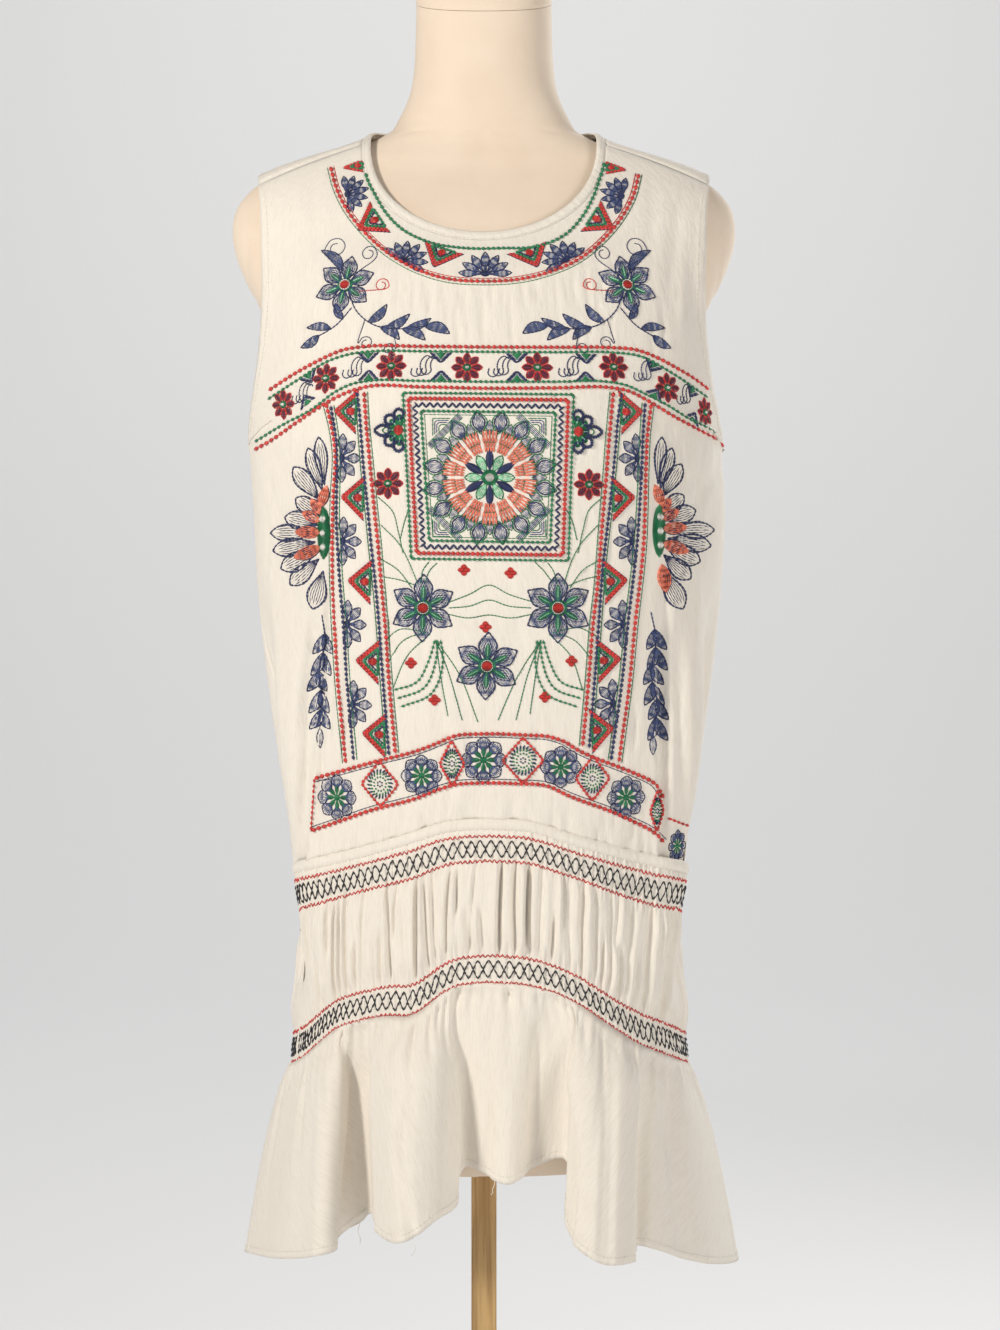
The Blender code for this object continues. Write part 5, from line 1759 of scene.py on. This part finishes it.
# %% Embroider the middle field
for x, y, side in ((402, 430, -1), (575, 431.5, 1)):
    board = spot(x, y, 90 * side)
    for angle in (-78, -40, 0, 40, 78):
        reach = 28 if angle == 0 else 22
        left, right = petal_edges(polar(11, angle), polar(reach, angle), 11, 0.5, 11)
        for edge in (left, right):
            run("navy", board(edge), 0.0022, 2.4)
            run("green", board(edge * 0.72), 0.0009, 2.4)
        satin_petal(board, polar(3, angle), polar(15, angle), 8, "green", 0.55)
        run("mint", board([polar(8, angle), polar(13, angle)]), 0.0008, 2.4, 2.0)
    disc(board, (0, -3.5), 4.6, "red", 0.8, 0.0010, high=1.8)
for x, y in ((388, 483.5), (589, 484.5)):
    star_flower(spot(x, y), 15.5)
for x, y, radius, turn in ((423, 608, 34, 2), (558, 608, 35, 0), (487, 666, 34, 3)):
    six_flower(spot(x, y), radius, turn)
for x, y in ((464, 570), (510.5, 573), (485.5, 627), (411, 663), (571.5, 661), (434.5, 700), (545, 697)):
    four_dot(spot(x, y))
stems = [
    # From the left flower up and out
    [(418, 584), (408, 560), (400, 545), (381, 525)], [(412, 588), (398, 570), (379, 558)],
    [(403, 553), (398, 530), (393, 512), (378, 497)], [(400, 540), (405, 520), (409, 508)],
    [(425, 583), (430, 570), (437, 563)], [(421, 583), (423, 570), (429, 562)], [(415, 585), (400, 580), (384, 577)],
    # From the right flower
    [(564, 584), (572, 560), (580, 545), (598, 525)], [(570, 588), (583, 570), (600, 560)],
    [(578, 553), (583, 530), (589, 510), (603, 497)], [(577, 540), (571, 518), (565, 507)],
    [(553, 583), (543, 570), (535, 562)], [(557, 583), (553, 570), (548, 563)], [(568, 586), (582, 580), (598, 576)],
    # Bridges between the two
    [(447, 603), (470, 594), (489, 585), (508, 594), (533, 602)],
    [(449, 608), (470, 606), (489, 600), (508, 606), (531, 608)],
    [(447, 614), (468, 618), (489, 615), (510, 618), (533, 614)],
    # Long fans that fall beside the lowest flower
    [(436, 640), (447, 668), (462, 720)], [(436, 640), (440, 672), (448, 716)], [(436, 640), (458, 672), (478, 722)],
    [(541, 640), (530, 668), (516, 720)], [(541, 640), (536, 672), (530, 714)], [(541, 640), (519, 674), (498, 720)],
    [(430, 634), (408, 655), (393, 688)], [(427, 632), (404, 640), (388, 662)],
    [(549, 634), (570, 655), (582, 688)], [(552, 632), (574, 640), (592, 660)],
    [(425, 632), (398, 630), (386, 640)], [(556, 632), (580, 628), (596, 636)],
]
for stem in stems:
    run("green", curve(stem), 0.0007, 3.6)
for side in (-1, 1):
    for reach, depth in ((0, 0), (7, 6), (14, 12)):
        arc = curve([
            (489 + side * (54 - reach * 0.4), 640), (489 + side * (60 - reach), 660),
            (489 + side * (72 - reach), 682 + depth), (489 + side * (95 - reach * 0.5), 690 + depth * 1.4),
        ])
        beads("green", arc, 5.0, 3.4, 0.0017, 0.0005)

# %% [markdown]
# ## The half flowers and the sprays
#
# A half flower leans against the outside of each upright band. The curling branches above
# the chest and below the half flowers are this lesson's own plain leaf sprays: a stem,
# paired leaves and two curls, in the same navy and at the same scale.

# %% Embroider the half flowers
half_flower((326, 533), [
    (318.6, 437, 13), (308, 448, 14), (293.5, 467, 17), (296, 498, 16), (285, 517, 18), (270.5, 533, 17),
    (273, 551, 18), (281, 569, 19), (290, 585, 17), (312.5, 609, 19),
], [(327, 486, 9), (312, 499, 9), (303, 512, 10), (296, 532, 12), (295, 558, 12)], -1)
half_flower((657, 531), [
    (662, 437, 12), (672, 448, 13), (681.5, 464, 16), (683.5, 495, 16), (695.5, 510, 18), (714.5, 530, 17),
    (711, 546, 18), (700, 562, 19), (690.5, 579, 18), (683, 609, 20),
], [(655, 485, 9), (669.5, 498, 9), (678, 510, 10), (686, 527, 12), (688, 552, 12), (666, 592, 13)], 1)

# %% Embroider the sprays
def leaf(board, foot, tip, wide, bow=0.0):
    petal(board, foot, tip, wide * 1.1, "navy", "slate", 0.45, 1.0, 0.0009, bow, lines=0.0006)


def curl(board, start, middle, radius, colour="navy", hand=1):
    """A thin line that ends in a round curl."""
    turns = np.linspace(0, 1.35, 18)
    spiral = np.array(middle) + polar(radius * (1 - 0.62 * turns / 1.35), hand * (turns * 360 - 90))
    run(colour, board(curve([start, *spiral[::2]])), 0.0007, 2.2)


def spray(x, y, hand):
    """A six-petalled flower with a leafy stem below it and curls above."""
    board = spot(x, y)

    def flip(places):
        return board(np.asarray(places, float) * (hand, 1))

    stem = curve([(4, 6), (16, 30), (36, 46), (64, 52), (96, 50)])
    run("navy", flip(stem), 0.0009)
    run("navy", flip(curve([(10, 26), (-4, 44), (-26, 58)])), 0.0009)
    for foot, tip, wide, bow in (
        ((30, 43), (48, 24), 9, 3), ((50, 50), (74, 36), 9, 3), ((72, 52), (98, 42), 8, 2),
        ((44, 49), (66, 64), 9, -3), ((68, 52), (94, 66), 9, -3), ((92, 50), (120, 60), 10, -3),
        ((2, 38), (-8, 20), 7, -2), ((-10, 48), (-36, 46), 8, 2), ((-22, 55), (-40, 68), 9, -2),
    ):
        leaf(flip, foot, tip, wide, bow)
    curl(flip, (26, 40), (30, 66), 8)
    curl(flip, (58, 52), (56, 74), 7, hand=-1)
    curl(flip, (8, -14), (-14, -42), 12)
    curl(flip, (10, -12), (22, -34), 9, hand=-1)
    curl(flip, (16, 8), (40, 2), 8, "red", -1)
    leaf(flip, (-4, -16), (-30, -40), 9, 4)
    six_flower(board, 32, 8 * hand)


spray(345, 285, 1)
spray(627, 285, -1)


def garland(path, hand):
    """Plain paired leaves down a stem, under a half flower."""
    path = curve(path)
    run("navy", path, 0.0010)
    points = evenly(path, 19)
    for step, point in enumerate(points[1:-1]):
        for side in (-1, 1):
            tip = point + np.array([side * 10 + hand * 2, 20 + 3 * (step % 2)])
            petal(flat, point, tip, 10, "navy", "slate", 0.5, 1.1, 0.0009, bow=side * 2.0, lines=0.0006)
    petal(flat, points[-1], points[-1] + (0, 20), 7, "navy", "slate", 0.5, 1.5, 0.0006)


garland([(651, 612), (656, 640), (651, 672), (657, 705), (653, 735)], 1)
garland([(322, 615), (325, 640), (319, 672), (322, 700), (320, 728)], -1)

# %% [markdown]
# ## The lower band
#
# The last band of embroidery follows the rise of the waist seam. It is framed by dotted
# red lines with a fine navy one inside, and flowers and dotted diamonds take turns in it.

# %% Embroider the lower band
top_line = curve([
    (314.5, 778.4), (345, 770), (376, 761.4), (420.8, 749.6), (440, 742), (456, 735.6), (478, 733.9), (525, 735),
    (550, 736.8), (564, 741.5), (577.7, 750), (595, 758), (614.3, 765.3), (636, 774), (655, 784), (664, 798),
])
bottom_line = curve([
    (311.5, 830.7), (340, 821), (368.5, 811), (420.8, 796.7), (440, 789), (456, 784.4), (478, 783), (517.5, 783.6),
    (548, 786), (567, 795), (585, 802), (603.8, 808.5), (630, 820), (653.5, 832), (664, 842),
])
for path, side in ((top_line, 1), (bottom_line, -1)):
    beads("red", path, 5.5, 4.2, 0.0029)
    run("navy", beside(path, side * 3.6), 0.0006)
beads("red", [(314.5, 778), (311, 831)], 5.4, 3.2, 0.0018)
for path in ([(668, 818), (679, 822.5), (689, 826)], [(668, 869), (676, 871.5), (683, 872.5)]):
    beads("red", path, 4.6, 3.2, 0.0019)
for x, y, radius in (
    (337, 797.5, 23.5), (421.5, 775.8, 21), (483.5, 760, 23), (560.7, 767, 21), (626, 797.5, 22), (677, 846, 17),
):
    eight_flower(spot(x, y), radius)
for x, y, wide in ((380, 784, 20), (452, 763.5, 13), (523, 760.5, 21), (592.5, 778.5, 18), (657, 811, 13)):
    dotted_diamond(spot(x, y), wide, 23)

# %% [markdown]
# ## Sewing it all down
#
# Now each collected stitch becomes geometry. Its three rings of points are looked up on
# the cloth one by one, so a long stitch bends with the fold below it. Each colour of
# thread becomes one object, with the shine of the lustrous thread that such work is done in.

# %% Thread materials
THREADS = {
    "navy": (0.010, 0.022, 0.110),
    "slate": (0.065, 0.10, 0.25),
    "green": (0.004, 0.20, 0.075),
    "mint": (0.36, 0.72, 0.48),
    "red": (0.62, 0.028, 0.022),
    "burgundy": (0.13, 0.006, 0.035),
    "coral": (0.86, 0.22, 0.13),
    "white": (0.85, 0.83, 0.78),
    "black": (0.007, 0.008, 0.016),
    "cream": (0.80, 0.75, 0.67),
}
TWIST = 2600


def make_thread(colour):
    made, tree, shader = make_material(colour + "_thread", THREADS[colour], 0.42, 0.15)
    shader.inputs["Specular IOR Level"].default_value = 0.55
    place = add_node(tree, "ShaderNodeTexCoord").outputs["Object"]
    plies = pattern(tree, "Noise", place, Scale=TWIST, Detail=2.0)
    base = np.array(THREADS[colour])
    patch = pattern(tree, "Noise", place, Scale=220.0, Detail=2.0)
    tint = colour_ramp(tree, patch, (0.3, tuple(base * 0.72)), (0.7, tuple(np.minimum(base * 1.22 + 0.004, 1))))
    dress_shader(tree, shader, tint, add_bump(tree, plies, 0.0002, 0.5))
    return made


thread_finish = {colour: make_thread(colour) for colour in THREADS}


# %% Laying copies along the cloth
LIFT = 0.42     # how far a thread's middle lies above the cloth, as a share of its height
FOOT_TO_END = np.array([0.0, 0.5, 1.0])     # the three places at which a stitch meets the cloth


def lay(model, points, normals, width, high):
    """Copies of a model, bent along rows of points on the cloth: foot, middle and far end."""
    shape, faces = model
    share = shape[:, 0] + 0.5
    way = points[:, -1] - points[:, 0]
    way /= np.maximum(np.linalg.norm(way, axis=-1, keepdims=True), 1e-9)
    low = np.minimum((share * 2).astype(int), 1)
    mix = (share * 2 - low)[:, None]
    middle, out = (table[:, low] * (1 - mix) + table[:, low + 1] * mix for table in (points, normals))
    side = np.cross(out, way[:, None])
    side /= np.maximum(np.linalg.norm(side, axis=-1, keepdims=True), 1e-9)
    thick = (width * high)[:, None, None]
    placed = middle + side * shape[:, 1, None] * width[:, None, None] + out * (shape[:, 2, None] + LIFT) * thick
    tables = []
    for corners in (4, 3):
        template = np.array([face for face in faces if len(face) == corners])
        if len(template):
            copies = template[None] + len(shape) * np.arange(len(points))[:, None, None]
            tables.append(copies.reshape(-1, corners))
    return placed.reshape(-1, 3), tables


def sew(name, finish, rows):
    """One object from rows of (model, points, normals, width, high)."""
    all_points, all_faces, done = [], [], 0
    for row in rows:
        points, tables = lay(*row)
        all_points.append(points)
        for table in tables:
            all_faces += (table + done).tolist()
        done += len(points)
    return add_mesh(name, np.concatenate(all_points), all_faces, finish)


# %% Sew the embroidery
total = 0
for colour in THREADS:
    rows = []
    for kind, model in (("stitch", STITCH), ("knot", KNOT)):
        if (colour, kind) not in basket:
            continue
        starts, ends, width, high = (np.concatenate(part) for part in zip(*basket[colour, kind]))
        share = FOOT_TO_END[:, None]
        points, normals, met = hoop.find(starts[:, None] * (1 - share) + ends[:, None] * share)
        keep = met.all(axis=1)
        rows.append((model, points[keep], normals[keep], width[keep], high[keep]))
        total += int(keep.sum())
    if rows:
        sew(colour + "_embroidery", thread_finish[colour], rows)
print(total, "stitches and knots")


# %% [markdown]
# ## Smocking
#
# A smocked band is worked over the fine pleats. Two waves of dark thread mirror each other
# and make a chain of rings, and a fine red zigzag closes the band above and below. It runs
# all the way round the tier, so it is laid by share of the tier's drop and by distance
# along the row, not by the picture.

# %% Smock the two bands
SMOCK_PITCH, RED_PITCH, WAVE_STEPS = 0.0124, 0.0037, 8
CROWDED, ROUND_CREST = 0.95, 0.97
BLACK_WIDTH, RED_WIDTH, RED_REACH = 0.0016, 0.0013, 0.0105
BANDS = [((0.045, 0.205), (0.070, 0.182)), ((0.815, 0.985), (0.842, 0.956))]     # red lines, dark waves


def along_row(sheet, share, across):
    """Row and column on a sheet's grid for a share of its drop and a distance along the row."""
    rows, columns = sheet.points.shape[:2]
    row = (1 - share) * (rows - 1) + 0 * across
    table = sheet.across[int(round((1 - share) * (rows - 1)))]
    return row, np.interp(across, table, np.arange(columns))


def straight(sheet, rows, columns):
    """Foot, middle and far end of the stitches between neighbours of a list of grid places."""
    places = (table[:-1, None] * (1 - FOOT_TO_END) + table[1:, None] * FOOT_TO_END for table in (rows, columns))
    return on_grid(sheet, *places)


def zigzag_row(sheet, high, low, pitch, rng):
    """Stitches that run to and fro between two shares of the drop, a little uneven."""
    row = (1 - (high + low) / 2) * (len(sheet.across) - 1)
    half = np.interp(row, np.arange(len(sheet.across)), sheet.across[:, -1]) - 0.0004
    across = np.arange(-half, half, pitch / 2)
    across = across[np.abs(across) < half]
    up_i, up_j = along_row(sheet, high, across)
    low_i, low_j = along_row(sheet, low, across)
    even = np.arange(len(across)) % 2 == 0
    rows = np.where(even, up_i, low_i) + rng.uniform(-0.12, 0.12, len(across))
    columns = np.where(even, up_j, low_j) + rng.uniform(-0.15, 0.15, len(across))
    return straight(sheet, rows, columns)


def wave_row(sheet, high, low, pitch, rng):
    """Stitches along an uneven wave with round crests; high and low swap for its mirror."""
    half = sheet.across[:, -1].mean() - 0.0006
    count = int(2 * half / pitch)
    turns, waves = np.linspace(0, count, count * WAVE_STEPS + 1), np.arange(count + 1)
    uneven = np.interp(turns, waves, waves + rng.uniform(-0.07, 0.07, count + 1))
    # The pleats are drawn closer towards the side seams
    across = half * np.sin(np.clip(uneven / count * 2 - 1, -1, 1) * CROWDED) / math.sin(CROWDED)
    swing = np.arcsin(ROUND_CREST * np.cos(2 * math.pi * turns)) / math.asin(ROUND_CREST)
    middle = (high + low) / 2 + np.interp(turns, waves, rng.uniform(-0.004, 0.004, count + 1))
    share = middle + (high - low) / 2 * swing
    rows = (1 - share) * (len(sheet.across) - 1)
    return straight(sheet, rows, along_row(sheet, (high + low) / 2, across)[1])


def stitch_rows(blocks, width, high=0.75):
    """One entry for sew from blocks of stitches of equal width."""
    points, normals = (np.concatenate(part) for part in zip(*blocks))
    return STITCH, points, normals, np.full(len(points), width), np.full(len(points), high)


for tier, behind in zip(tiers, ("front", "back")):
    rng = np.random.default_rng(41)
    dark, bright = [], []
    for red_shares, (high, low) in BANDS:
        dark.append(wave_row(tier, high, low, SMOCK_PITCH, np.random.default_rng(43)))
        dark.append(wave_row(tier, low, high, SMOCK_PITCH, np.random.default_rng(44)))
        for share in red_shares:
            bright.append(zigzag_row(tier, share - RED_REACH, share + RED_REACH, RED_PITCH, rng))
    sew("smocking_dark_" + behind, thread_finish["black"], [stitch_rows(dark, BLACK_WIDTH, 0.8)])
    sew("smocking_red_" + behind, thread_finish["red"], [stitch_rows(bright, RED_WIDTH)])

# %% [markdown]
# ## Seams that hold the dress together
#
# A garment is read by its topstitching as much as by its cloth. Rows of small stitches in
# cotton-coloured thread run along the armhole hems, the neck binding and the ruffle's
# hem. They sink into the groove that was pressed for them.

# %% Topstitch the edges
TOP_STITCH, TOP_GAP, TOP_WIDTH = 0.0024, 0.0008, 0.0006


def seam_line(sheet, rows, columns):
    """Separate stitches along a line of grid places."""
    line, _ = on_grid(sheet, np.asarray(rows, float), np.asarray(columns, float))
    length = np.concatenate([[0], np.cumsum(np.linalg.norm(np.diff(line, axis=0), axis=1))])
    starts = np.arange(0.001, length[-1] - TOP_STITCH, TOP_STITCH + TOP_GAP)
    at = starts[:, None] + TOP_STITCH * FOOT_TO_END
    return on_grid(sheet, np.interp(at, length, rows), np.interp(at, length, columns))


def whole_row(sheet, row):
    columns = sheet.points.shape[1]
    return np.full(columns, float(row)), np.arange(columns, dtype=float)


def side_line(sheet, side, away, first, last):
    """A line that runs up a panel at a distance from its side edge."""
    rows = np.linspace(first, last, 120)
    columns = []
    for row in rows:
        table = sheet.across[int(round(row))]
        columns.append(np.interp(side * (table[-1] - away), table, np.arange(len(table))))
    return rows, np.array(columns)


def height_row(sheet, away):
    """A line at a distance above the lowest edge."""
    columns = sheet.points.shape[1]
    rows = [np.interp(away, sheet.up[:, column], np.arange(len(sheet.up))) for column in range(columns)]
    return np.array(rows), np.arange(columns, dtype=float)


seams = []
for panel, steps, tip in ((front, FRONT_STEPS, FRONT_TIP), (back, BACK_STEPS, BACK_TIP)):
    first, last = UNDERARM_ROW * steps + 2, tip * steps - 2
    for side in (-1, 1):
        seams.append(seam_line(panel, *side_line(panel, side, ARMHOLE_HEM - 0.001, first, last)))
seams.append(seam_line(binding, *whole_row(binding, 1.1)))
for ruffle in ruffles:
    seams.append(seam_line(ruffle, *height_row(ruffle, HEM_WIDTH - 0.001)))
topstitching = sew("topstitching", thread_finish["cream"], [stitch_rows(seams, TOP_WIDTH, 0.6)])
print(len(topstitching.data.polygons), "faces of topstitching")

# %% [markdown]
# ## Loose ends
#
# Worn work has loose ends: a few hairs of thread hang from the hem. Each is a thin curve
# with a round bevel, made into a mesh.

# %% Loose threads at the hem
LOOSE_RADIUS = 0.00022


def hang_thread(name, colour, sheet, share, ways):
    """A hair of thread from a share of a sheet's lowest edge, through steps given in millimetres."""
    start, _ = on_grid(sheet, np.zeros(1), np.array([share * (sheet.points.shape[1] - 1)]))
    line = bpy.data.curves.new(name, "CURVE")
    line.dimensions = "3D"
    line.bevel_depth = LOOSE_RADIUS
    line.bevel_resolution = 1
    line.resolution_u = 4
    line.use_fill_caps = True
    spline = line.splines.new("NURBS")
    places = start[0] + np.concatenate([[(0, 0.001, 0.002)], np.array(ways) / 1000])
    spline.points.add(len(places) - 1)
    for point, place in zip(spline.points, places):
        point.co = (*place, 1)
    spline.use_endpoint_u = True
    spline.order_u = 3
    holder = bpy.data.objects.new(name + "_curve", line)
    bpy.context.scene.collection.objects.link(holder)
    bpy.context.view_layer.update()
    made = bpy.data.meshes.new_from_object(holder)
    bpy.data.objects.remove(holder)
    made.name = name
    made.materials.clear()
    made.materials.append(thread_finish[colour])
    piece = bpy.data.objects.new(name, made)
    bpy.context.scene.collection.objects.link(piece)
    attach(piece, "root")
    return piece


loose_threads = [
    hang_thread("loose_thread_" + name, "cream", ruffles[0], share, ways)
    for name, share, ways in (
        ("left", 0.229, [(0, -1, -4), (-2, -2, -9), (1, -1, -14), (0, 0, -19)]),
        ("middle", 0.366, [(1, -1, -3), (3, -2, -5), (2, -1, -10), (-1, 0, -13)]),
        ("right", 0.536, [(0, -1, -3), (-2, -1, -6), (-1, -2, -9), (-3, -1, -10)]),
    )
]

# %% [markdown]
# ## The dress form
#
# The form under the dress is covered in a thin stretched knit. Its seams can be seen: one
# follows the foot of the neck, one drops from it down the middle, and one rings each
# shoulder end. A finer skin from the same sections stands for the frame's coarse one, and
# the seams are fine grooves in it.

# %% Jersey
def make_jersey():
    made, tree, shader = make_material("cream_jersey_cover", (0.84, 0.70, 0.56), 0.82, 0.35)
    place = add_node(tree, "ShaderNodeTexCoord").outputs["Object"]
    rib = pattern(tree, "Wave", place, bands_direction="X", Scale=420.0, Distortion=0.8, Detail=1.0)
    rows = pattern(tree, "Wave", place, bands_direction="Z", Scale=520.0, Distortion=0.8, Detail=1.0)
    normal = add_bump(tree, rows, 0.00008, 0.3, add_bump(tree, rib, 0.00010, 0.35))
    patch = pattern(tree, "Noise", place, Scale=14.0, Detail=5.0, Roughness=0.6)
    tint = colour_ramp(tree, patch, (0.3, (0.80, 0.655, 0.515)), (0.7, (0.87, 0.735, 0.60)))
    dress_shader(tree, shader, tint, normal)
    return made


jersey = make_jersey()

# %% Skin of the form
NECK_TOP, NECK_TILT, TILT_FROM = 1.505, 0.39, 1.430
NECK_SEAM_HEIGHT, NECK_SEAM_LEAN, ARM_SEAM = 1.3935, 0.22, 0.1865
SEAM_DEEP, SEAM_WIDE, SKIN_COLUMNS, CAP_COLUMNS = 0.0011, 0.0012, 180, 120
# Rows of the rounded cap: how far each stands out, and how far up
CAP_STEPS = [
    (0.0, 0.0004), (0.0004, 0.0018), (0.0006, 0.0034), (0.0005, 0.007), (0.0, 0.0104),
    (-0.0012, 0.0128), (-0.004, 0.015), (-0.008, 0.0158), (-0.012, 0.016),
]


def form_rings(heights, columns, tilt, grow=0.0, lift=0.0):
    """Rows of points round the form. tilt leans a row towards the cut at the neck's top."""
    turns = np.arange(columns) * 360 / columns
    across, forward = rounded(turns)
    heights = np.asarray(heights, float)[:, None]
    size = form_section(heights + 0 * turns)
    x = (size[..., 0] + grow) * across
    y = -(np.where(forward > 0, size[..., 1], size[..., 2]) + grow) * forward
    return np.stack([x, y, heights + tilt * NECK_TILT * y + lift], axis=-1)


def closed_rings(name, rings, finish):
    """A solid from rings of points, closed at both ends by one face."""
    rows, columns = rings.shape[:2]
    row, column = np.meshgrid(np.arange(rows - 1), np.arange(columns), indexing="ij")
    beside = (column + 1) % columns
    a, b = row * columns + column, row * columns + beside
    faces = np.stack([a, b, b + columns, a + columns], -1).reshape(-1, 4).tolist()
    faces.append(list(range(columns))[::-1])
    faces.append([(rows - 1) * columns + index for index in range(columns)])
    piece = add_mesh(name, rings.reshape(-1, 3), faces, finish)
    bpy.ops.object.select_all(action="DESELECT")
    piece.select_set(True)
    bpy.context.view_layer.objects.active = piece
    bpy.ops.object.shade_smooth_by_angle(angle=math.radians(35))
    return piece


heights = np.concatenate([np.linspace(0.585, 1.16, 40), np.linspace(1.163, NECK_TOP, 120)])
skin = form_rings(heights, SKIN_COLUMNS, ease((heights[:, None] - TILT_FROM) / 0.05))
outward = grid_normals(skin, True)
x, y, z = np.moveaxis(skin, -1, 0)
# The neck seam rises from the front to the back
neck_seam = NECK_SEAM_HEIGHT + NECK_SEAM_LEAN * (y + 0.047)
arm_seam = ARM_SEAM - 3.5 * (1.30 - z) ** 2
groove = (
    bell(z - neck_seam, SEAM_WIDE) * (np.abs(x) < 0.10)
    + bell(x, SEAM_WIDE) * (y != 0) * ease((neck_seam - z) / 0.002)
    + bell(np.abs(x) - arm_seam, SEAM_WIDE) * (z > 1.24) * (z < 1.40)
)
skin = skin - (SEAM_DEEP * np.clip(groove, 0, 1))[..., None] * outward
form_skin = closed_rings("form_cover", skin, jersey)
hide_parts("form_body")
cap_rings = np.concatenate([form_rings([NECK_TOP], CAP_COLUMNS, 1.0, grow, lift) for grow, lift in CAP_STEPS])
neck_top = closed_rings("neck_cap_cover", cap_rings, jersey)
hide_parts("neck_cap")
print(len(form_skin.data.polygons), "faces of skin")

# %% [markdown]
# ## Pine
#
# The pole is a planed pine lath and the base a plain turned disc of the same wood. Pine
# has long pale and darker streaks along its grain, pores too fine to see, and a thin
# satin varnish. The same noise, stretched along the grain, colours it and roughens it.

# %% Pine for the pole and the base
def make_pine(name, stretch, light=(0.60, 0.395, 0.175), dark=(0.36, 0.205, 0.075)):
    made, tree, shader = make_material(name, light, 0.42)
    shader.inputs["Coat Weight"].default_value = 0.25
    shader.inputs["Coat Roughness"].default_value = 0.3
    place = add_node(tree, "ShaderNodeTexCoord").outputs["Object"]
    grain = pattern(
        tree, "Noise", stretched(tree, place, stretch), Scale=1.0, Detail=6.0, Roughness=0.6, Distortion=0.4,
    )
    middle = tuple((np.array(light) + np.array(dark)) / 2)
    tint = colour_ramp(tree, grain, (0.32, dark), (0.47, middle), (0.62, light))
    dress_shader(tree, shader, tint, add_bump(tree, grain, 0.0003, 0.35))
    return made


for node, name, stretch in (("pole", "pine_lath", (260, 260, 9)), ("base", "pine_disc", (14, 190, 190))):
    finish = make_pine(name, stretch)
    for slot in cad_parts[node].material_slots:
        slot.material = finish
